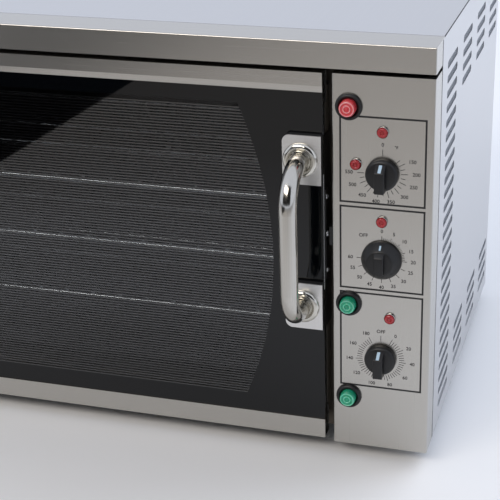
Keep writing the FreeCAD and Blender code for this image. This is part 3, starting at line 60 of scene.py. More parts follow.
# %% Three helpers for finishes
# The sockets of a Mix node that mixes colours, by number
MIX_FACTOR, MIX_FIRST, MIX_SECOND, MIX_RESULT = 0, 6, 7, 2


def linear(hex_colour):
    """Give the linear colour of an sRGB hex value."""
    parts = [int(hex_colour[place:place + 2], 16) / 255 for place in (1, 3, 5)]
    return [part / 12.92 if part <= 0.04045 else ((part + 0.055) / 1.055) ** 2.4
            for part in parts] + [1.0]


def add_node(tree, kind, settings=None, links=None):
    """Add a node, set its sockets and options, and link its inputs."""
    node = tree.nodes.new("ShaderNode" + kind)
    for key, value in (settings or {}).items():
        if isinstance(key, int) or key in node.inputs:
            node.inputs[key].default_value = value
        else:
            setattr(node, key, value)
    for key, source in (links or {}).items():
        tree.links.new(source, node.inputs[key])
    return node


def start_finish(name, colour, metallic, roughness, **sockets):
    """Make a material and return it with its node tree and its shader."""
    material = bpy.data.materials.new(name)
    material.use_nodes = True
    shader = material.node_tree.nodes["Principled BSDF"]
    shader.inputs["Base Color"].default_value = linear(colour)
    shader.inputs["Metallic"].default_value = metallic
    shader.inputs["Roughness"].default_value = roughness
    for key, value in sockets.items():
        shader.inputs[key.replace("_", " ")].default_value = value
    return material, material.node_tree, shader


print("white in linear light:", linear("#ffffff"))

# %% [markdown]
# ## Brushed stainless steel
# The front sheets are cold-rolled stainless steel drawn under an abrasive belt. The belt leaves
# fine parallel scratches, so the sheet mirrors its surroundings as a soft blur with faint streaks.
# A noise stretched along the belt's path makes the streaks, and it moves colour, roughness and
# bump together. Real scratches are some hundredths of a millimetre wide, which no render shows,
# so they are drawn about a millimetre wide. The copies of this one steel differ in tone as painted
# light and shade: the front's tone is darkest, as painted shade, and the casing and the satin
# plates under the handle are paler, as painted light, with the plates palest. The tube is the same
# steel, polished further, so its streaks run up the tube and its mirror image is sharper. Its
# streaks span a wide range of tone, partly polishing marks and partly painted reflection bands.

# %% Stainless steel, brushed along three axes and polished
STREAK_LENGTH = 400 * MM
STREAK_WIDTH = 0.9 * MM
STREAK_DEPTH = 0.05 * MM
STREAK_BUMP = 0.02
STREAK_GLOSS = 0.01
ALONG_X, ALONG_Y, ALONG_Z = 0, 1, 2


def brushed_steel(name, dark, light, along, roughness):
    """Make a steel whose belt marks run along one axis."""
    steel, tree, shader = start_finish(name, light, 1.0, roughness)
    stretch = [1 / STREAK_WIDTH] * 3
    stretch[along] = 1 / STREAK_LENGTH
    place = add_node(tree, "TexCoord")
    belt = add_node(tree, "Mapping", {"Scale": stretch}, {"Vector": place.outputs["Object"]})
    streaks = add_node(tree, "TexNoise", {"Scale": 1.0, "Detail": 4.0, "Roughness": 0.6},
                       {"Vector": belt.outputs["Vector"]})
    tone = add_node(tree, "Mix", {"data_type": "RGBA", MIX_FIRST: linear(dark),
                                  MIX_SECOND: linear(light)}, {MIX_FACTOR: streaks.outputs["Fac"]})
    gloss = add_node(tree, "MapRange", {"To Min": roughness - STREAK_GLOSS,
                                        "To Max": roughness + STREAK_GLOSS},
                     {"Value": streaks.outputs["Fac"]})
    relief = add_node(tree, "Bump", {"Strength": STREAK_BUMP, "Distance": STREAK_DEPTH},
                      {"Height": streaks.outputs["Fac"]})
    tree.links.new(tone.outputs[MIX_RESULT], shader.inputs["Base Color"])
    tree.links.new(gloss.outputs["Result"], shader.inputs["Roughness"])
    tree.links.new(relief.outputs["Normal"], shader.inputs["Normal"])
    return steel


# Tones: painted shade on the front, painted light on casing and plates, painted bands on the tube
steel_across = brushed_steel("brushed_stainless_across", "#bab7b1", "#c1beb8", ALONG_X, 0.27)
steel_upright = brushed_steel("brushed_stainless_upright", "#bcb9b3", "#c0bdb7", ALONG_Z, 0.27)
casing_steel_painted_light = brushed_steel("satin_stainless_casing_painted_light", "#c9c9ca", "#d0d0d1", ALONG_Y, 0.33)
plate_steel_painted_light = brushed_steel("satin_stainless_plate_painted_light", "#d8d7d5", "#e0dfdd", ALONG_Z, 0.33)
tube_steel_painted_bands = brushed_steel("polished_stainless_tube_painted_bands", "#aeaba5", "#d3d0c9", ALONG_Z, 0.15)
STEELS = (steel_across, steel_upright, casing_steel_painted_light, plate_steel_painted_light, tube_steel_painted_bands)
print("steels:", ", ".join(steel.name for steel in STEELS))

# %% [markdown]
# ## Galvanised sheet
# The back, the floor pan and the wall beside the cavity are steel dipped in molten zinc. The zinc
# freezes in flat crystals, the spangle, each with its own tone. Voronoi cells are the same kind of
# pattern: one random value per cell moves the tone and the gloss.

# %% Zinc-dipped sheet
SPANGLE = 9 * MM
SPANGLE_GLOSS = (0.38, 0.55)
galvanised, tree, shader = start_finish("galvanised_steel_sheet", "#a9adb0", 1.0, 0.45)
place = add_node(tree, "TexCoord")
spangle = add_node(tree, "TexVoronoi", {"Scale": 1 / SPANGLE}, {"Vector": place.outputs["Object"]})
crystal = add_node(tree, "SeparateColor", None, {"Color": spangle.outputs["Color"]})
tone = add_node(tree, "Mix", {"data_type": "RGBA", MIX_FIRST: linear("#9b9fa3"),
                              MIX_SECOND: linear("#b9bdc0")}, {MIX_FACTOR: crystal.outputs["Red"]})
gloss = add_node(tree, "MapRange", {"To Min": SPANGLE_GLOSS[0], "To Max": SPANGLE_GLOSS[1]},
                 {"Value": crystal.outputs["Green"]})
tree.links.new(tone.outputs[MIX_RESULT], shader.inputs["Base Color"])
tree.links.new(gloss.outputs["Result"], shader.inputs["Roughness"])
print("spangle of", SPANGLE / MM, "mm:", galvanised.name)

# %% [markdown]
# ## Plated and bare metals
# Chrome on the shelf guides and the lamps' bezels is a mirror with hardly any blur. The shelves
# are chrome too, a little softer and paler than real chrome, as a painted highlight that keeps
# their thin lines bright behind the door. Nickel on the handle's foot rings is warmer, and zinc
# plate on screws and pins is darker and duller than both. The motor is cast aluminium with a sandy
# skin, and the fan wheel is the same metal in a dark tone. Heat has browned the steel tubes of the
# elements, and the sheet round the oven's mouth is a dark brown steel. They differ in colour, in
# roughness and in the size of their grain, so one table and one loop make them all.

# %% Chrome, nickel, zinc, aluminium and heated steel
METALS = {
    # name: dark tone, light tone, roughness, grain in mm, bump strength
    "bright_chrome_plate": ("#c3c4c3", "#cfd0ce", 0.06, 14.0, 0.01),
    # the shelves' chrome is paler than real chrome, as a painted highlight
    "wire_chrome_painted_highlight": ("#f0f0ee", "#f6f6f4", 0.13, 14.0, 0.01),
    "satin_nickel_plate": ("#c4c1b8", "#d3d0c7", 0.13, 14.0, 0.01),
    "bright_zinc_plate": ("#a6a9ac", "#c3c5c6", 0.32, 3.0, 0.05),
    "cast_aluminium": ("#9c9fa1", "#b6b8ba", 0.50, 1.6, 0.35),
    "dark_toned_aluminium": ("#2f2e2d", "#45433f", 0.55, 1.6, 0.35),
    "heated_element_steel": ("#2b2622", "#544a40", 0.58, 6.0, 0.15),
    "dark_brown_sheet": ("#4f4a44", "#635d55", 0.42, 20.0, 0.02),
}
GLOSS_SPREAD = 0.2
GRAIN_DEPTH = 0.1 * MM
metals = {}
for name, (dark, light, roughness, grain, bump) in METALS.items():
    metals[name], tree, shader = start_finish(name, light, 1.0, roughness)
    place = add_node(tree, "TexCoord")
    skin = add_node(tree, "TexNoise", {"Scale": 1 / (grain * MM), "Detail": 3.0},
                    {"Vector": place.outputs["Object"]})
    tone = add_node(tree, "Mix", {"data_type": "RGBA", MIX_FIRST: linear(dark),
                                  MIX_SECOND: linear(light)}, {MIX_FACTOR: skin.outputs["Fac"]})
    gloss = add_node(tree, "MapRange", {"To Min": roughness * (1 - GLOSS_SPREAD),
                                        "To Max": roughness * (1 + GLOSS_SPREAD)},
                     {"Value": skin.outputs["Fac"]})
    relief = add_node(tree, "Bump", {"Strength": bump, "Distance": GRAIN_DEPTH},
                      {"Height": skin.outputs["Fac"]})
    tree.links.new(tone.outputs[MIX_RESULT], shader.inputs["Base Color"])
    tree.links.new(gloss.outputs["Result"], shader.inputs["Roughness"])
    tree.links.new(relief.outputs["Normal"], shader.inputs["Normal"])
print("metals:", ", ".join(metals))

# %% [markdown]
# ## Vitreous enamel
# The cavity and its baffle are steel with glass frit fused on at red heat. It is nearly black,
# glossy, slightly wavy like orange peel, and sprinkled with pale specks that hide soil. Cells of
# a Voronoi pattern whose distance is small make the specks. Real ones are about half a millimetre
# wide, and they are drawn more than twice as wide to show.

# %% Speckled dark enamel
SPECK_SPACING = 5 * MM
SPECK_CORE, SPECK_RIM = 0.10, 0.16
PEEL_SIZE = 7 * MM
PEEL_DEPTH = 0.2 * MM
PEEL_BUMP = 0.12
enamel, tree, shader = start_finish("speckled_vitreous_enamel", "#16171a", 0.0, 0.22, IOR=1.52)
place = add_node(tree, "TexCoord")
specks = add_node(tree, "TexVoronoi", {"Scale": 1 / SPECK_SPACING},
                  {"Vector": place.outputs["Object"]})
spot = add_node(tree, "MapRange", {"From Min": SPECK_CORE, "From Max": SPECK_RIM, "To Min": 1.0,
                                   "To Max": 0.0}, {"Value": specks.outputs["Distance"]})
tone = add_node(tree, "Mix", {"data_type": "RGBA", MIX_FIRST: linear("#16171a"),
                              MIX_SECOND: linear("#6d7074")}, {MIX_FACTOR: spot.outputs["Result"]})
peel = add_node(tree, "TexNoise", {"Scale": 1 / PEEL_SIZE, "Detail": 1.0},
                {"Vector": place.outputs["Object"]})
relief = add_node(tree, "Bump", {"Strength": PEEL_BUMP, "Distance": PEEL_DEPTH},
                  {"Height": peel.outputs["Fac"]})
tree.links.new(tone.outputs[MIX_RESULT], shader.inputs["Base Color"])
tree.links.new(relief.outputs["Normal"], shader.inputs["Normal"])
speck_width = (SPECK_CORE + SPECK_RIM) * SPECK_SPACING
print("specks about", round(speck_width / MM, 1), "mm wide:", enamel.name)

# %% [markdown]
# ## Plastics, rubber, paint and ceramic
# Knobs are moulded in a dark phenolic with a fine spark-eroded grain. Feet and pads are rubber,
# the seal is silicone, the stile behind the glass is powder coated, and the terminal block is
# unglazed steatite. All of them are dull and differ in tone and in grain. Ink, paint and the films
# fired on the pane are in the same table. The fired films are as glossy as the glass under them.

# %% Dull coloured materials
DULL = {
    # name: dark tone, light tone, roughness, IOR, grain in mm, bump strength
    "moulded_black_phenolic": ("#0b0b0c", "#131315", 0.42, 1.48, 0.9, 0.10),
    "black_nitrile_rubber": ("#141415", "#212122", 0.62, 1.52, 1.6, 0.20),
    # silicone of the door seal, also used for the dark joint beads that paint shade
    "silicone_seal_and_joint_shade": ("#2c2c2e", "#3c3c3e", 0.55, 1.41, 2.2, 0.15),
    # a dark grey-brown paint, for the door's inner frame
    "dark_grey_brown_paint": ("#5d5851", "#706a62", 0.50, 1.50, 3.0, 0.10),
    "grey_zinc_paint": ("#8b8f95", "#a3a7ad", 0.60, 1.50, 1.2, 0.10),
    # the pane's ground edge, paler still as a painted highlight
    "ground_glass_edge_highlight": ("#b9bab8", "#cbccca", 0.60, 1.50, 1.2, 0.10),
    "black_powder_coat": ("#101011", "#1b1b1c", 0.48, 1.50, 0.8, 0.25),
    "white_steatite_ceramic": ("#d6d0c2", "#e6e2d8", 0.60, 1.56, 1.2, 0.15),
    "mineral_wool_slab": ("#8d8256", "#b3a677", 0.95, 1.50, 3.0, 0.80),
    "fired_black_frit": ("#020305", "#030508", 0.02, 1.45, 1.0, 0.0),
    "fired_tin_oxide": ("#030304", "#070708", 0.03, 1.94, 1.0, 0.0),
    "black_screen_ink": ("#0d0d0e", "#161617", 0.55, 1.50, 1.4, 0.05),
    "pale_pointer_paint": ("#b4d2ea", "#cde3f2", 0.50, 1.50, 1.4, 0.05),
}
dull = {}
for name, (dark, light, roughness, index, grain, bump) in DULL.items():
    dull[name], tree, shader = start_finish(name, light, 0.0, roughness, IOR=index)
    place = add_node(tree, "TexCoord")
    skin = add_node(tree, "TexNoise", {"Scale": 1 / (grain * MM), "Detail": 3.0},
                    {"Vector": place.outputs["Object"]})
    tone = add_node(tree, "Mix", {"data_type": "RGBA", MIX_FIRST: linear(dark),
                                  MIX_SECOND: linear(light)}, {MIX_FACTOR: skin.outputs["Fac"]})
    relief = add_node(tree, "Bump", {"Strength": bump, "Distance": GRAIN_DEPTH},
                      {"Height": skin.outputs["Fac"]})
    tree.links.new(tone.outputs[MIX_RESULT], shader.inputs["Base Color"])
    tree.links.new(relief.outputs["Normal"], shader.inputs["Normal"])
print("dull finishes:", len(dull))

# %% [markdown]
# ## Lamp plastics
# The push caps and the pilot lenses are clear coloured polycarbonate. Light goes in, is coloured
# and comes back out, so they glow a little, under a hard gloss. Subsurface scattering gives that
# depth at less cost than true transparency, and a wide noise keeps the colour alive. The rings on
# the caps get a paler tone as a painted highlight, and the hearts of the pilot lamps get a deeper
# one as painted shade.

# %% Red and green polycarbonate
LENSES = {
    "red_polycarbonate": ("#c8343b", "#e2585f"),
    # the caps' paler rings are a painted highlight, and the pilots' deep hearts painted shade
    "pale_red_polycarbonate": ("#e88488", "#f2a2a5"),
    "red_polycarbonate_painted_shade": ("#8c191d", "#a5272b"),
    "signal_red_polycarbonate": ("#9d2127", "#b7363c"),
    "green_polycarbonate": ("#1d9670", "#35b08b"),
    "pale_green_polycarbonate": ("#57c39e", "#7bd9b9"),
}
FLOW_MARK = 6 * MM
LENS_ROUGHNESS = 0.16
LENS_IOR = 1.58
GLOW_SHARE = 0.35
GLOW_DEPTH = 2 * MM
lenses = {}
for name, (dark, light) in LENSES.items():
    lenses[name], tree, shader = start_finish(
        name, light, 0.0, LENS_ROUGHNESS, IOR=LENS_IOR, Subsurface_Weight=GLOW_SHARE,
        Subsurface_Scale=GLOW_DEPTH)
    place = add_node(tree, "TexCoord")
    flow = add_node(tree, "TexNoise", {"Scale": 1 / FLOW_MARK, "Detail": 2.0},
                    {"Vector": place.outputs["Object"]})
    tone = add_node(tree, "Mix", {"data_type": "RGBA", MIX_FIRST: linear(dark),
                                  MIX_SECOND: linear(light)}, {MIX_FACTOR: flow.outputs["Fac"]})
    tree.links.new(tone.outputs[MIX_RESULT], shader.inputs["Base Color"])
print("lens plastics:", ", ".join(lenses))

# %% [markdown]
# ## Toughened glass
# The panes are float glass, so smooth that only their index of refraction shows: each surface
# returns about a twenty-fifth of the light. The inner pane, the bulb and its cover are clear. The
# outer pane is tinted grey in the melt, so it hides most of the dark cavity behind it. It is also
# coated against glare, which takes away more than half of its mirror, and a lower index stands for
# the coat. Faint wipe marks change the clearness of the glass a little.

# %% Clear and grey float glass
GLASSES = {
    # name: dark tone, light tone, IOR
    "clear_float_glass": ("#f4f6f5", "#fafbfa", 1.5),
    "coated_grey_float_glass": ("#b0b2b6", "#b8babe", 1.3),
}
WIPE_MARK = 60 * MM
glass = {}
for name, (dark, light, index) in GLASSES.items():
    glass[name], tree, shader = start_finish(
        name, light, 0.0, 0.0, IOR=index, Transmission_Weight=1.0)
    place = add_node(tree, "TexCoord")
    wipes = add_node(tree, "TexNoise", {"Scale": 1 / WIPE_MARK, "Detail": 3.0},
                     {"Vector": place.outputs["Object"]})
    tone = add_node(tree, "Mix", {"data_type": "RGBA", MIX_FIRST: linear(dark),
                                  MIX_SECOND: linear(light)}, {MIX_FACTOR: wipes.outputs["Fac"]})
    tree.links.new(tone.outputs[MIX_RESULT], shader.inputs["Base Color"])
print("glass:", ", ".join(glass))

# %% [markdown]
# ## Dress the solids
# Each solid keeps its shape and takes the finish of the real part. Round faces are shaded smooth
# and folded edges stay sharp. The list goes finish by finish, so that a part is easy to move from
# one to another.

# %% One finish for each solid
DRESS = [
    (steel_across, "top_fascia door_top_rail door_bottom_rail"),
    (steel_upright, "control_panel"),
    (casing_steel_painted_light, "left_side_panel right_side_panel top_cover"),
    (plate_steel_painted_light, "handle_plates"),
    (galvanised, "base_pan rear_panel compartment_wall"),
    (tube_steel_painted_bands, "handle_tube"),
    (metals["bright_chrome_plate"], "shelf_guide_left shelf_guide_right"),
    (metals["wire_chrome_painted_highlight"], "shelf_lower shelf_middle shelf_upper"),
    (metals["satin_nickel_plate"], "handle_flanges"),
    (metals["dark_brown_sheet"], "front_frame"),
    (metals["bright_zinc_plate"], "rear_panel_screws lamp_holder thermostat_probe hinge_brackets "
     "handle_bolts catch_ball fan_shaft temperature_spindle bake_spindle cook_spindle"),
    (metals["cast_aluminium"], "fan_motor"),
    (metals["dark_toned_aluminium"], "fan_wheel"),
    (metals["heated_element_steel"], "ring_element grill_element"),
    (enamel, "cavity_liner fan_baffle"),
    (dull["black_nitrile_rubber"], "feet handle_spacers"),
    (dull["silicone_seal_and_joint_shade"], "door_gasket"),
    (dull["dark_grey_brown_paint"], "door_inner_frame"),
    (dull["black_powder_coat"], "latch_stile catch_body catch_strike"),
    (dull["moulded_black_phenolic"], "thermostat bake_timer cook_timer button_bodies cable_gland "
     "temperature_knob bake_knob cook_knob"),
    (dull["white_steatite_ceramic"], "terminal_block"),
    (dull["mineral_wool_slab"], "insulation_slabs"),
    (lenses["red_polycarbonate"], "pilot_lights power_button"),
    (lenses["green_polycarbonate"], "hold_button light_button"),
    (glass["coated_grey_float_glass"], "outer_glass"),
    (glass["clear_float_glass"], "inner_glass lamp_bulb lamp_glass"),
]
FOLD_ANGLE = math.radians(32)
dressed = 0
for finish, names in DRESS:
    for name in names.split():
        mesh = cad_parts[name].data
        mesh.materials.clear()
        mesh.materials.append(finish)
        mesh.shade_smooth()
        mesh.set_sharp_from_angle(angle=FOLD_ANGLE)
        dressed += 1
print("dressed:", dressed, "of", len(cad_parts))

# %% [markdown]
# ## Tools for new pieces
# New pieces are drawn with bmesh straight in the oven's own coordinates. Most of them face the
# front, so three small tools cover them: a profile spun about an axis that points out of the front,
# a block, and a step that turns the finished drawing into an object that rides on a body.

# %% Spin, block and hand over
SPIN_STEPS = 72
SOFT_ANGLE = math.radians(38)


def spin(drawing, centre_x, face_y, centre_z, profile):
    """Spin a list of (radius, height) points about an axis that points to the front."""
    rings = []
    for radius, height in profile:
        y = face_y - height
        if radius == 0:
            rings.append([drawing.verts.new((centre_x, y, centre_z))])
            continue
        turns = [2 * math.pi * step / SPIN_STEPS for step in range(SPIN_STEPS)]
        rings.append([drawing.verts.new((centre_x + radius * math.sin(turn), y,
                                         centre_z + radius * math.cos(turn))) for turn in turns])
    for low, high in zip(rings, rings[1:]):
        for step in range(SPIN_STEPS):
            after = (step + 1) % SPIN_STEPS
            corners = [low[step % len(low)], low[after % len(low)],
                       high[after % len(high)], high[step % len(high)]]
            drawing.faces.new(list(dict.fromkeys(corners)))


def block(drawing, low, high):
    """Add a closed block between two corners."""
    made = bmesh.ops.create_cube(drawing, size=1.0)
    middle = (Vector(low) + Vector(high)) / 2
    spread = Vector(high) - Vector(low)
    for vertex in made["verts"]:
        vertex.co = middle + Vector(part * size for part, size in zip(vertex.co, spread))
    return made["verts"]


def hand_over(drawing, name, finish, body, stands_for=()):
    """Turn a drawing into a piece that rides on a body."""
    bmesh.ops.recalc_face_normals(drawing, faces=drawing.faces)
    mesh = bpy.data.meshes.new(name)
    drawing.to_mesh(mesh)
    drawing.free()
    mesh.materials.append(finish)
    mesh.shade_smooth()
    mesh.set_sharp_from_angle(angle=SOFT_ANGLE)
    piece = bpy.data.objects.new(name, mesh)
    bpy.context.scene.collection.objects.link(piece)
    if stands_for:
        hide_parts(*stands_for)
    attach(piece, body)
    print(name, "faces:", len(mesh.polygons))


print("spun pieces have", SPIN_STEPS, "sides")

# %% [markdown]
# ## The print on the door pane
# A black frit is fired on the outer pane as a border, and its window bulges at both sides. Across
# the window run fine lines of tin oxide, which send radiant heat back into the oven and still let
# you look in between them. The oxide bends light more than glass does, so the lines shine brighter
# than the glass, but only where they mirror something bright. Makers fire the frit on the back of
# the glass. It lies on the front here, as glossy as glass, because that looks the same and renders
# with less noise.

# %% Outline of the window
PRINT_DEPTH = 0.04 * MM
PRINT_INSET = 0.1 * MM
LINE_PITCH = 3.65 * MM
LINE_HEIGHT = 1.4 * MM
WINDOW_LOW, WINDOW_HIGH = 75.4 * MM, 465.5 * MM
WINDOW_MIDDLE = -60.8 * MM
WINDOW_REACH = 290.8 * MM
WINDOW_BULGE = 40.0 * MM
EDGE_STEPS = 48
pane_low, pane_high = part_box("outer_glass")
window_half = (WINDOW_HIGH - WINDOW_LOW) / 2
window_centre = (WINDOW_HIGH + WINDOW_LOW) / 2
bulge_radius = (window_half ** 2 + WINDOW_BULGE ** 2) / (2 * WINDOW_BULGE)


def window_edge(z):
    """Give how far the window reaches from its middle at a height."""
    rise = min(abs(z - window_centre), window_half)
    return WINDOW_REACH - bulge_radius + math.sqrt(bulge_radius ** 2 - rise ** 2)


def fire_on(drawing, name, finish):
    """Give flat faces on the pane the thickness of a print and hand them over."""
    film = bmesh.ops.extrude_face_region(drawing, geom=list(drawing.faces))
    for vertex in (item for item in film["geom"] if isinstance(item, bmesh.types.BMVert)):
        vertex.co.y -= PRINT_DEPTH
    hand_over(drawing, name, finish, "door")


print("window in mm:", round(2 * WINDOW_REACH / MM), "by", round(2 * window_half / MM))

# %% Black border
levels = [WINDOW_LOW + 2 * window_half * step / EDGE_STEPS for step in range(EDGE_STEPS + 1)]
levels = [pane_low[2] + PRINT_INSET] + levels + [pane_high[2] - PRINT_INSET]
drawing = bmesh.new()
rows = []
for z in levels:
    reach = window_edge(z)
    across = (pane_low[0] + PRINT_INSET, WINDOW_MIDDLE - reach, WINDOW_MIDDLE + reach,
              pane_high[0] - PRINT_INSET)
    rows.append([drawing.verts.new((x, pane_low[1], z)) for x in across])
for number, (low, high) in enumerate(zip(rows, rows[1:])):
    for span in (0, 1, 2) if number in (0, EDGE_STEPS + 1) else (0, 2):
        drawing.faces.new((low[span], low[span + 1], high[span + 1], high[span]))
fire_on(drawing, "door_pane_border", dull["fired_black_frit"])

# %% Window lines
drawing = bmesh.new()
line_count = int(2 * window_half / LINE_PITCH)
for number in range(line_count):
    low = WINDOW_LOW + number * LINE_PITCH
    high = low + LINE_HEIGHT
    corners = [(-1, low), (1, low), (1, high), (-1, high)]
    drawing.faces.new([drawing.verts.new((WINDOW_MIDDLE + side * window_edge(z), pane_low[1], z))
                       for side, z in corners])
fire_on(drawing, "door_window_lines", dull["fired_tin_oxide"])
print("window lines:", line_count)

# %% [markdown]
# ## Print on the control panel
# Three boxes group the controls, and round each knob stands a dial: ticks and plain numbers. On the
# real panel they are screen printed. They could be painted in the panel's material, but thin meshes
# stay sharp at any distance. Letters start as font curves and are turned into meshes, then
# everything is joined in one piece.

# %% Letters and ticks
INK = 0.12 * MM
LETTER_SIZE = 6.2 * MM
LETTER_WEIGHT = 0.10 * MM
LETTER_STEPS = 3
TICK_WIDTH = 0.65 * MM
panel_low, panel_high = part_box("control_panel")
panel_face = panel_low[1]
drawing = bmesh.new()


def axis_of(node):
    """Give the x and z of a round node's axis, in the middle of its box."""
    low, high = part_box(node)
    return (low[0] + high[0]) / 2, (low[2] + high[2]) / 2


def letter(text, x, z, size=LETTER_SIZE):
    """Draw a short text, centred on a point of the panel."""
    curve = bpy.data.curves.new("letters", "FONT")
    curve.body = text
    curve.size = size
    curve.extrude = INK / 2
    curve.offset = LETTER_WEIGHT
    curve.resolution_u = LETTER_STEPS
    curve.align_x = "CENTER"
    curve.align_y = "CENTER"
    holder = bpy.data.objects.new("letters", curve)
    mesh = bpy.data.meshes.new_from_object(holder)
    stand = Matrix.Translation((x, panel_face - INK / 2, z)) @ Matrix.Rotation(math.pi / 2, 4, "X")
    mesh.transform(stand)
    drawing.from_mesh(mesh)
    bpy.data.objects.remove(holder)
    bpy.data.curves.remove(curve)
    bpy.data.meshes.remove(mesh)


def tick(x, z, angle, inner, length):
    """Draw a dial line at an angle that is counted clockwise from the top, in degrees."""
    corners = block(drawing, (-TICK_WIDTH / 2, panel_face - INK, inner),
                    (TICK_WIDTH / 2, panel_face, inner + length))
    turn = Matrix.Translation((x, 0, z)) @ Matrix.Rotation(math.radians(angle), 4, "Y")
    for vertex in corners:
        vertex.co = turn @ vertex.co


def around(x, z, angle, reach):
    """Give the point of a dial at an angle, for its reach across and up in millimetres."""
    turn = math.radians(angle)
    return x + reach[0] * MM * math.sin(turn), z + reach[1] * MM * math.cos(turn)


print("panel's face at y =", round(panel_face / MM, 1), "mm")

# %% Dials
# Angles of the marks in degrees, clockwise from the top
HEAT_STEP = 26
heat_marks = [61 + HEAT_STEP * step for step in range(9)]
heat_halves = [angle - HEAT_STEP / 2 for angle in heat_marks]
bake_marks = [22.5 * step for step in range(13)]
bake_minutes = [4.5 * step for step in range(20) if step % 5]
cook_marks = [27.5 + 33.8 * step for step in range(10)]
cook_fifths = [27.5 + 6.76 * step for step in range(46) if step % 5]
DIALS = {
    # knob: the labels' reach across and up, labels as (angle, text), then ticks as (angles, inner
    # radius, length), with angles in degrees and lengths in mm
    "temperature_knob": (
        (40.0, 35.4),
        [(0, "0")] + [(angle, str(150 + 50 * step)) for step, angle in enumerate(heat_marks)],
        [([0] + heat_marks, 22.0, 8.0), (heat_halves, 22.0, 5.5)]),
    "bake_knob": (
        (38.2, 36.6),
        [(-36, "OFF")] + [(angle, str(5 * step)) for step, angle in enumerate(bake_marks)],
        [(bake_marks, 25.2, 5.4), (bake_minutes, 25.2, 3.0)]),
    "cook_knob": (
        (39.6, 37.2),
        [(0, "OFF")] + [(angle, str(20 * step)) for step, angle in enumerate(cook_marks)],
        [([0] + cook_marks, 23.0, 8.6), (cook_fifths, 23.0, 6.6)]),
}
for knob, (label_reach, labels, scales) in DIALS.items():
    x, z = axis_of(knob)
    for angles, inner, length in scales:
        for angle in angles:
            tick(x, z, angle, inner * MM, length * MM)
    for angle, text in labels:
        letter(text, *around(x, z, angle, label_reach))
DEGREE_ANGLE = 25.6
DEGREE_REACH = (36.8, 36.8)
DEGREE_SIZE = 4.8 * MM
x, z = axis_of("temperature_knob")
letter("°F", *around(x, z, DEGREE_ANGLE, DEGREE_REACH), DEGREE_SIZE)
print("dials:", ", ".join(DIALS))

# %% Boxes round the dials
BOX_LINE = 2.2 * MM
BOX_SIDE = 8.6 * MM
# Lower and upper edge of each box over the panel's foot, in mm
BOXES = [(332.0, 440.0), (220.3, 328.3), (85.9, 216.5)]
for low, high in BOXES:
    left, right = panel_low[0] + BOX_SIDE, panel_high[0] - BOX_SIDE
    bottom, top = panel_low[2] + low * MM, panel_low[2] + high * MM
    for corner, opposite in [((left, bottom), (left + BOX_LINE, top)),
                             ((right - BOX_LINE, bottom), (right, top)),
                             ((left + BOX_LINE, bottom), (right - BOX_LINE, bottom + BOX_LINE)),
                             ((left + BOX_LINE, top - BOX_LINE), (right - BOX_LINE, top))]:
        block(drawing, (corner[0], panel_face - INK, corner[1]),
              (opposite[0], panel_face, opposite[1]))
hand_over(drawing, "control_panel_print", dull["black_screen_ink"], "casing")

# %% [markdown]
# ## Knobs
# Each knob is one moulding: a round skirt and a grip bar whose upper end slopes down to the skirt.
# The skirt is a spun profile. The bar is its side view pulled out to its width, a little narrower
# at its top, with bevelled edges, because no moulding has a sharp edge. A painted stripe shows the
# setting. On two knobs it lies on the bar's slope, and on the bake knob on the tall cone above it.

# %% Profiles of the knobs
BAR_TAPER = 0.90
BAR_ROUND = 1.3 * MM
BAR_FOOT = 3.0 * MM
BAR_HALF = 6.5 * MM
PAINT = 0.12 * MM
STRIPE_ROUND = 0.6 * MM
# Skirts as (radius, height) and bars as (up, height), in mm
LOW_SKIRT = [(0, 0), (19.5, 0), (19.5, 4.4), (19.3, 5.8), (18.6, 7.2), (17.4, 8.4), (15.8, 9.0),
             (0, 9.0)]
TALL_SKIRT = [(0, 0), (24.5, 0), (24.5, 2.2), (24.0, 3.4), (16.4, 13.0), (15.4, 13.8), (14.2, 14.0),
              (0, 14.0)]
LOW_BAR = [(-18.6, 3.0), (15.2, 3.0), (15.0, 9.0), (7.6, 20.4), (-18.2, 20.4)]
TALL_BAR = [(-13.0, 3.0), (15.0, 3.0), (15.0, 14.2), (9.8, 20.4), (-12.4, 20.4)]
KNOBS = {
    # knob: skirt, bar, the stripe's ends as (up, height), half of the stripe's width, all in mm
    "temperature": (LOW_SKIRT, LOW_BAR, (14.4, 9.9), (8.2, 19.5), 1.9),
    "bake": (TALL_SKIRT, TALL_BAR, (21.2, 6.95), (17.2, 12.0), 1.1),
    "cook": (LOW_SKIRT, LOW_BAR, (14.4, 9.9), (8.2, 19.5), 1.9),
}


def in_metres(profile):
    """Give a profile that is listed in millimetres in metres."""
    return [(across * MM, height * MM) for across, height in profile]


print("knobs:", ", ".join(KNOBS))

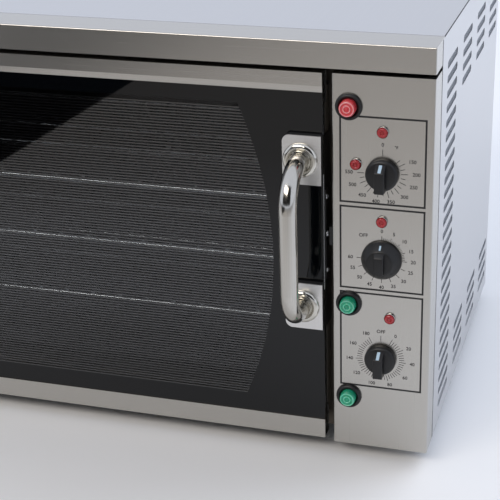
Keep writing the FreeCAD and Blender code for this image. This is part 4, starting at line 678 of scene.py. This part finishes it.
# %% Knobs and their pointers
for knob, (skirt, bar, stripe_start, stripe_end, stripe_half) in KNOBS.items():
    x, z = axis_of(knob + "_spindle")
    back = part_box(knob + "_knob")[1][1]
    crest = max(height for up, height in bar) * MM
    drawing = bmesh.new()
    spin(drawing, x, back, z, in_metres(skirt))
    side = [drawing.verts.new((x - BAR_HALF, back - rise, z + up)) for up, rise in in_metres(bar)]
    pulled = bmesh.ops.extrude_face_region(drawing, geom=[drawing.faces.new(side)])
    far_side = [item for item in pulled["geom"] if isinstance(item, bmesh.types.BMVert)]
    for vertex in far_side:
        vertex.co.x = x + BAR_HALF
    for vertex in side + far_side:
        share = (back - vertex.co.y - BAR_FOOT) / (crest - BAR_FOOT)
        vertex.co.x = x + (vertex.co.x - x) * (1 + (BAR_TAPER - 1) * share)
    bar_edges = {edge for vertex in side + far_side for edge in vertex.link_edges}
    upper_edges = [edge for edge in bar_edges
                   if back - min(vertex.co.y for vertex in edge.verts) > BAR_FOOT + PAINT]
    bmesh.ops.bevel(drawing, geom=upper_edges, offset=BAR_ROUND, segments=4, profile=0.5,
                    affect="EDGES")
    body = knob + "_control"
    hand_over(drawing, knob + "_knob_moulding", dull["moulded_black_phenolic"], body,
              [knob + "_knob"])
    drawing = bmesh.new()
    (start_up, start_rise), (end_up, end_rise) = in_metres([stripe_start, stripe_end])
    slope = math.atan2(end_rise - start_rise, start_up - end_up)
    length = math.hypot(end_rise - start_rise, start_up - end_up)
    block(drawing, (-stripe_half * MM, -PAINT, -length / 2), (stripe_half * MM, PAINT, length / 2))
    corner_edges = [edge for edge in drawing.edges
                    if abs(edge.verts[0].co.y - edge.verts[1].co.y) > PAINT]
    bmesh.ops.bevel(drawing, geom=corner_edges, offset=STRIPE_ROUND, segments=3, profile=0.5,
                    affect="EDGES")
    middle = (x, back - (start_rise + end_rise) / 2, z + (start_up + end_up) / 2)
    lean = Matrix.Translation(middle) @ Matrix.Rotation(-slope, 4, "X")
    bmesh.ops.transform(drawing, matrix=lean, verts=drawing.verts)
    hand_over(drawing, knob + "_knob_pointer", dull["pale_pointer_paint"], body)

# %% [markdown]
# ## Push buttons and pilot lenses
# The caps of the push buttons stand in a black collar with a round crest, and their faces carry two
# raised rings that catch the light and are painted paler as a highlight. A pilot lamp is a lens
# with a heart painted darker as shade and a brighter ring in a thin plated bezel. All of them are
# round, so they are spun profiles. Rings and bezels have their own finish and are therefore pieces
# of their own, on the same body as their cap or lens.

# %% Caps with rings, and their collars
# Profiles as (radius, height over the panel), in mm
CAP_REAR = -23.0
CAP = [(0, CAP_REAR), (10, CAP_REAR), (10, 3.0), (9.9, 7.0), (9.6, 10.2), (9.3, 11.2), (8.7, 11.9),
       (7.4, 12.1), (7.0, 11.6), (5.2, 11.5), (4.8, 12.0), (3.4, 12.0), (3.0, 11.4), (1.7, 11.3),
       (1.3, 11.9), (0, 12.0)]
CAP_RINGS = [
    [(7.4, 11.9), (7.4, 12.4), (7.8, 12.7), (8.4, 12.6), (8.8, 12.2), (8.8, 11.7)],
    [(3.4, 11.8), (3.4, 12.3), (3.8, 12.6), (4.4, 12.5), (4.8, 12.2), (4.8, 11.8)],
]
BARREL_REAR = -30.0
BARREL_FLOOR = -28.0
COLLAR = [(0, BARREL_REAR), (13, BARREL_REAR), (13, 0), (16, 0), (16, 2.0), (15.7, 3.1),
          (15.0, 4.1), (14.1, 4.8), (13.2, 5.0), (12.2, 4.7), (11.3, 3.9), (10.7, 3.0),
          (10.3, 2.2), (10.3, BARREL_FLOOR), (0, BARREL_FLOOR)]
WELD = 0.001 * MM
collars = bmesh.new()
for button, colour in (("power", "red"), ("hold", "green"), ("light", "green")):
    x, z = axis_of(button + "_button")
    spin(collars, x, panel_face, z, in_metres(COLLAR))
    drawing = bmesh.new()
    spin(drawing, x, panel_face, z, in_metres(CAP))
    hand_over(drawing, button + "_button_cap", lenses[colour + "_polycarbonate"],
              button + "_push", [button + "_button"])
    drawing = bmesh.new()
    for ring in CAP_RINGS:
        spin(drawing, x, panel_face, z, in_metres(ring + ring[:1]))
    bmesh.ops.remove_doubles(drawing, verts=drawing.verts, dist=WELD)
    hand_over(drawing, button + "_button_rings", lenses["pale_" + colour + "_polycarbonate"],
              button + "_push")
hand_over(collars, "button_collars", dull["moulded_black_phenolic"], "casing",
          ["button_bodies"])

# %% Pilot lamps
LENS_REAR = -24.0
LENS = [(0, LENS_REAR), (5, LENS_REAR), (5, 0), (6.4, 0), (6.4, 3.2), (6.2, 3.6), (5.8, 2.6),
        (2.4, 2.6), (2.4, 4.1), (1.9, 4.6), (0, 4.8)]
LENS_RING = [(2.45, 2.5), (5.75, 2.5), (5.75, 3.8), (5.4, 4.5), (4.7, 4.9), (3.4, 5.0), (2.7, 4.6),
             (2.45, 4.2)]
BEZEL = [(6.45, 0), (7.0, 0), (7.0, 2.2), (6.9, 2.7), (6.7, 2.9), (6.45, 2.7)]
# Where the lamps sit, as (x, z) in mm
PILOTS = [(365.0, 442.0), (333.5, 401.0), (365.0, 331.0), (376.0, 205.0)]
hearts, rings, bezels = bmesh.new(), bmesh.new(), bmesh.new()
for x, z in PILOTS:
    spin(hearts, x * MM, panel_face, z * MM, in_metres(LENS))
    spin(rings, x * MM, panel_face, z * MM, in_metres(LENS_RING + LENS_RING[:1]))
    spin(bezels, x * MM, panel_face, z * MM, in_metres(BEZEL + BEZEL[:1]))
for drawing in (rings, bezels):
    bmesh.ops.remove_doubles(drawing, verts=drawing.verts, dist=WELD)
hand_over(hearts, "pilot_light_lenses", lenses["red_polycarbonate_painted_shade"], "casing",
          ["pilot_lights"])
hand_over(rings, "pilot_light_rings", lenses["signal_red_polycarbonate"], "casing")
hand_over(bezels, "pilot_light_bezels", metals["bright_chrome_plate"], "casing")

# %% [markdown]
# ## Handle feet, catch screws and the pane's edge
# The plated rings round the handle's feet are turned: a broad round rim with a dish inside it, so
# they throw bright and dark circles. The catch is held by two pan-head screws with a round recess.
# The pane's upright edge is ground, which leaves it pale and dull. Between the handle's plates a
# narrow strip with soft edges covers it, paler still as a painted highlight, where it shows as a
# thin bright line.

# %% Rings round the handle's feet
FLANGE = [(11.15, 0), (21.4, 0), (21.4, 1.2), (20.9, 2.5), (19.8, 3.7), (18.2, 4.6), (16.5, 5.0),
          (15.2, 4.8), (14.3, 4.1), (13.6, 3.1), (12.7, 2.4), (11.15, 2.2)]
ring_low, ring_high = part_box("handle_flanges")
foot_reach = (ring_high[0] - ring_low[0]) / 2
foot_heights = (ring_low[2] + foot_reach, ring_high[2] - foot_reach)
drawing = bmesh.new()
for z in foot_heights:
    spin(drawing, (ring_low[0] + ring_high[0]) / 2, ring_high[1], z, in_metres(FLANGE + FLANGE[:1]))
bmesh.ops.remove_doubles(drawing, verts=drawing.verts, dist=WELD)
hand_over(drawing, "handle_foot_rings", metals["satin_nickel_plate"], "door",
          ["handle_flanges"])

# %% Screw heads of the catch
SCREW_HEAD = [(0, -0.4), (3.3, -0.4), (3.3, 0.5), (3.0, 1.2), (2.3, 1.6), (1.2, 1.8), (1.0, 1.2),
              (0, 1.1)]
SCREW_SPACING = 96.0 * MM
CATCH_SKIN = 1.5 * MM
catch_low, catch_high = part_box("catch_body")
ball_low, ball_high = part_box("catch_ball")
catch_z = (catch_low[2] + catch_high[2]) / 2
drawing = bmesh.new()
for z in (catch_z - SCREW_SPACING / 2, catch_z + SCREW_SPACING / 2):
    before = set(drawing.verts)
    spin(drawing, 0, 0, 0, in_metres(SCREW_HEAD))
    spot = (catch_high[0] - CATCH_SKIN, (ball_low[1] + ball_high[1]) / 2, z)
    turn = Matrix.Translation(spot) @ Matrix.Rotation(math.pi / 2, 4, "Z")
    bmesh.ops.transform(drawing, matrix=turn, verts=list(set(drawing.verts) - before))
hand_over(drawing, "catch_screw_heads", metals["bright_zinc_plate"], "door")

# %% Ground edge of the pane, with a painted highlight
EDGE_SOFT = 0.6 * MM
EDGE_THICK = 0.06 * MM
EDGE_ROUND = EDGE_THICK * 0.4
drawing = bmesh.new()
block(drawing, (pane_high[0], pane_low[1] + EDGE_SOFT, foot_heights[0] + foot_reach),
      (pane_high[0] + EDGE_THICK, pane_high[1] - EDGE_SOFT, foot_heights[1] - foot_reach))
bmesh.ops.bevel(drawing, geom=list(drawing.edges), offset=EDGE_ROUND, segments=1, affect="EDGES")
hand_over(drawing, "pane_edge_highlight", dull["ground_glass_edge_highlight"], "door")

# %% [markdown]
# ## Screen behind the vents
# Close behind the slots of the right side the photograph shows plain grey. A woven wire screen is
# the usual part there: it lets air through and keeps fat and insects out. It is drawn as two layers
# of straight wires, which are about three times as thick as real ones so that they show. The
# shield further in stands on two ribs. The screen fits between them and reaches down to the pan.

# %% Crossed wires of the screen
SCREEN_WIRE = 0.8 * MM
SCREEN_PITCH = 1.6 * MM
SCREEN_LAYER = 0.2 * MM
SHEET = 1.25 * MM
RIB = 6.2 * MM
PAN_GAP = 3.8 * MM
side_low, side_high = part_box("right_side_panel")
screen_x = side_high[0] - SHEET
deep = [vertex.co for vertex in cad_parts["right_side_panel"].data.vertices
        if vertex.co.x < side_high[0] - RIB and vertex.co.y > side_low[1] + 2 * RIB]
near, far = min(spot.y for spot in deep), max(spot.y for spot in deep) - RIB
foot, head = min(spot.z for spot in deep) - PAN_GAP, max(spot.z for spot in deep)
drawing = bmesh.new()
for step in range(int((far - near) / SCREEN_PITCH)):
    y = near + step * SCREEN_PITCH
    block(drawing, (screen_x - SCREEN_LAYER, y, foot), (screen_x, y + SCREEN_WIRE, head))
for step in range(int((head - foot) / SCREEN_PITCH)):
    z = foot + step * SCREEN_PITCH
    block(drawing, (screen_x - 2 * SCREEN_LAYER, near, z),
          (screen_x - SCREEN_LAYER, far, z + SCREEN_WIRE))
hand_over(drawing, "vent_screen", dull["grey_zinc_paint"], "casing")
print("screen in mm:", round((far - near) / MM), "by", round((head - foot) / MM))

# %% [markdown]
# ## Painted shade in the casing's joints
# The outer sheets meet with narrow open joints, and dark beads in them paint their shade.
# From the front they show as thin dark lines beside the control column and along the top's edges.
# Each bead stands a little proud of the sheets beside it.

# %% Beads at the side and along the top
BEAD_HALF = 1.3 * MM
BEAD_PROUD = 0.15 * MM
BEAD_DEPTH = 1.0 * MM
BEAD_END = 1.4 * MM
BEAD_ROUND = 0.1 * MM
JOINT_FORWARD = 0.4 * MM
top_low, top_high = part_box("top_cover")
fascia_low, fascia_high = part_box("top_fascia")
drawing = bmesh.new()
joint_y = side_low[1] - JOINT_FORWARD
for x in (fascia_low[0] - BEAD_PROUD, fascia_high[0] - BEAD_DEPTH):
    block(drawing, (x, joint_y - BEAD_HALF, panel_low[2]),
          (x + BEAD_DEPTH + BEAD_PROUD, joint_y + BEAD_HALF, fascia_high[2] - BEAD_END))
for x, far_x in ((fascia_low[0], top_low[0]), (top_high[0], fascia_high[0])):
    block(drawing, (x, top_low[1], side_high[2]), (far_x, top_high[1], top_high[2]))
block(drawing, (fascia_low[0], fascia_high[1], top_low[2]),
      (fascia_high[0], top_low[1], top_high[2]))
bmesh.ops.bevel(drawing, geom=list(drawing.edges), offset=BEAD_ROUND, segments=2, profile=0.5,
                affect="EDGES")
# dark beads in the joints, as painted shade
hand_over(drawing, "casing_joint_painted_shade", dull["silicone_seal_and_joint_shade"], "casing")

# %% [markdown]
# ## Floor, cards and lamps
# The studio is a pale floor, a large soft lamp behind the oven to the right and a weaker one in
# front. The floor's colour turns a little warmer and darker towards the viewer, as painted shade
# that the steel front mirrors. Steel shows what it faces, so two black cards stand where a
# photographer would put them: a low one to the left of the door, which gives the glass its dark
# part, and a wide one behind the camera, which gives the handle its dark lines. The camera doesn't
# see the cards themselves, and they cast no shadow.

# %% Floor and cards
FLOOR_SIZE = 24.0
FLOOR_DROP = 0.2 * MM
# The floor's colour darkens from its pale near part to its far part as painted shade
PAINTED_SHADE_NEAR, PAINTED_SHADE_FAR = -0.6, -1.3
LEFT_CARD = [(-0.650, -0.92, 0.0), (-0.470, -2.96, 0.0), (-0.470, -2.96, 0.36),
             (-0.650, -0.92, 0.36)]
CAMERA_CARD = [(-3.5, -3.6, 0.6), (3.5, -3.6, 0.6), (3.5, -3.0, 4.0), (-3.5, -3.0, 4.0)]
paper, tree, shader = start_finish("matt_white_studio_paper", "#eeeeee", 0.0, 0.85, IOR=1.5)
place = add_node(tree, "TexCoord")
along = add_node(tree, "SeparateXYZ", None, {"Vector": place.outputs["Object"]})
painted_shade_fade = add_node(tree, "MapRange", {"From Min": PAINTED_SHADE_FAR, "From Max": PAINTED_SHADE_NEAR},
                {"Value": along.outputs["Y"]})
tone = add_node(tree, "Mix", {"data_type": "RGBA", MIX_FIRST: linear("#c4c1bd"),
                              MIX_SECOND: linear("#f2f2f2")}, {MIX_FACTOR: painted_shade_fade.outputs["Result"]})
tree.links.new(tone.outputs[MIX_RESULT], shader.inputs["Base Color"])
black_card = start_finish("matt_black_card", "#0b0b0c", 0.0, 0.9, IOR=1.5)[0]


def flat_sheet(name, corners, finish, seen=True):
    """Set up a flat sheet of the studio; one that isn't seen casts no shadow either."""
    drawing = bmesh.new()
    drawing.faces.new([drawing.verts.new(corner) for corner in corners])
    mesh = bpy.data.meshes.new(name)
    drawing.to_mesh(mesh)
    drawing.free()
    mesh.materials.append(finish)
    sheet = bpy.data.objects.new(name, mesh)
    sheet.visible_camera = seen
    sheet.visible_shadow = seen
    bpy.context.scene.collection.objects.link(sheet)


half = FLOOR_SIZE / 2
flat_sheet("studio_floor", [(-half, -half, -FLOOR_DROP), (half, -half, -FLOOR_DROP),
                            (half, half, -FLOOR_DROP), (-half, half, -FLOOR_DROP)], paper)
flat_sheet("left_card", LEFT_CARD, black_card, seen=False)
flat_sheet("camera_side_card", CAMERA_CARD, black_card, seen=False)
print("floor and two cards")

# %% [markdown]
# ## Light
# The big lamp lies behind and to the right, so the floor beside the oven is bright while the oven
# shades the floor in front of it. Steel doesn't mirror that lamp, or the top would burn out white
# when it is seen from the left. The weak lamp in front opens the shadows. The world gives an even
# pale surround: what the camera, mirrors and glass see of it is brighter than what it adds as
# light, so it doesn't flatten the shadows.

# %% Two lamps and the world
SURROUND = "#ebf1ff"
SURROUND_LIGHT = 0.65
LAMPS = {
    # name: place, point it faces, width, height, watts, colour, whether mirrors show it
    "back_softbox": ((2.1, 2.1, 2.4), (0.45, 0.5, 0.0), 3.4, 2.8, 80.0, "#e8f0ff", False),
    "front_softbox": ((-0.7, -2.4, 2.3), (0.0, -0.2, 0.25), 2.4, 0.9, 47.0, "#fff8f0", True),
}
for name, (spot, target, width, height, watts, colour, mirrored) in LAMPS.items():
    lamp = bpy.data.lights.new(name, "AREA")
    lamp.shape = "RECTANGLE"
    lamp.size = width
    lamp.size_y = height
    lamp.energy = watts
    lamp.color = linear(colour)[:3]
    holder = bpy.data.objects.new(name, lamp)
    holder.location = spot
    holder.rotation_euler = (Vector(target) - Vector(spot)).to_track_quat("-Z", "Y").to_euler()
    holder.visible_glossy = mirrored
    bpy.context.scene.collection.objects.link(holder)
world = bpy.data.worlds.new("studio_surround")
world.use_nodes = True
tree = world.node_tree
surround = tree.nodes["Background"]
surround.inputs["Color"].default_value = linear(SURROUND)
rays = add_node(tree, "LightPath")
looked = add_node(tree, "Math", {"operation": "MAXIMUM"},
                  {0: rays.outputs["Is Camera Ray"], 1: rays.outputs["Is Glossy Ray"]})
seen = add_node(tree, "Math", {"operation": "MAXIMUM"},
                {0: looked.outputs["Value"], 1: rays.outputs["Is Transmission Ray"]})
level = add_node(tree, "MapRange", {"To Min": SURROUND_LIGHT, "To Max": 1.0},
                 {"Value": seen.outputs["Value"]})
tree.links.new(level.outputs["Result"], surround.inputs["Strength"])
bpy.context.scene.world = world
bpy.context.scene.view_settings.view_transform = "Standard"
print("lamps:", ", ".join(LAMPS))

# %% [markdown]
# ## Camera
# The lens and the place come from the vanishing points of the photograph's straight edges. The
# photograph is a part of a wider frame, so its centre isn't the lens's axis. A small shift of the
# lens and a small turn of the camera about its axis make up for that.

# %% The photograph's view
EYE = Vector((0.6633, -1.6337, 0.9365))
YAW, PITCH, ROLL = 0.2848, 0.4244, -0.0210
PICTURE = 500
FOCAL_PIXELS = 1323.0
AXIS_PIXEL = (290.0, 256.8)
SENSOR = 36.0
view = bpy.data.cameras.new("photograph_view")
view.sensor_width = SENSOR
view.lens = FOCAL_PIXELS / PICTURE * SENSOR
view.shift_x = (PICTURE / 2 - AXIS_PIXEL[0]) / PICTURE
view.shift_y = (AXIS_PIXEL[1] - PICTURE / 2) / PICTURE
view.clip_start = 0.05
camera = bpy.data.objects.new("photograph_view", view)
aim = Matrix.Rotation(YAW, 3, "Z") @ Matrix.Rotation(math.pi / 2 - PITCH, 3, "X")
camera.location = EYE
camera.rotation_euler = (aim @ Matrix.Rotation(ROLL, 3, "Z")).to_euler()
bpy.context.scene.collection.objects.link(camera)
bpy.context.scene.camera = camera
print("lens of", round(view.lens, 1), "mm")

# %% [markdown]
# ## The end

# %% Finish
print("finished")
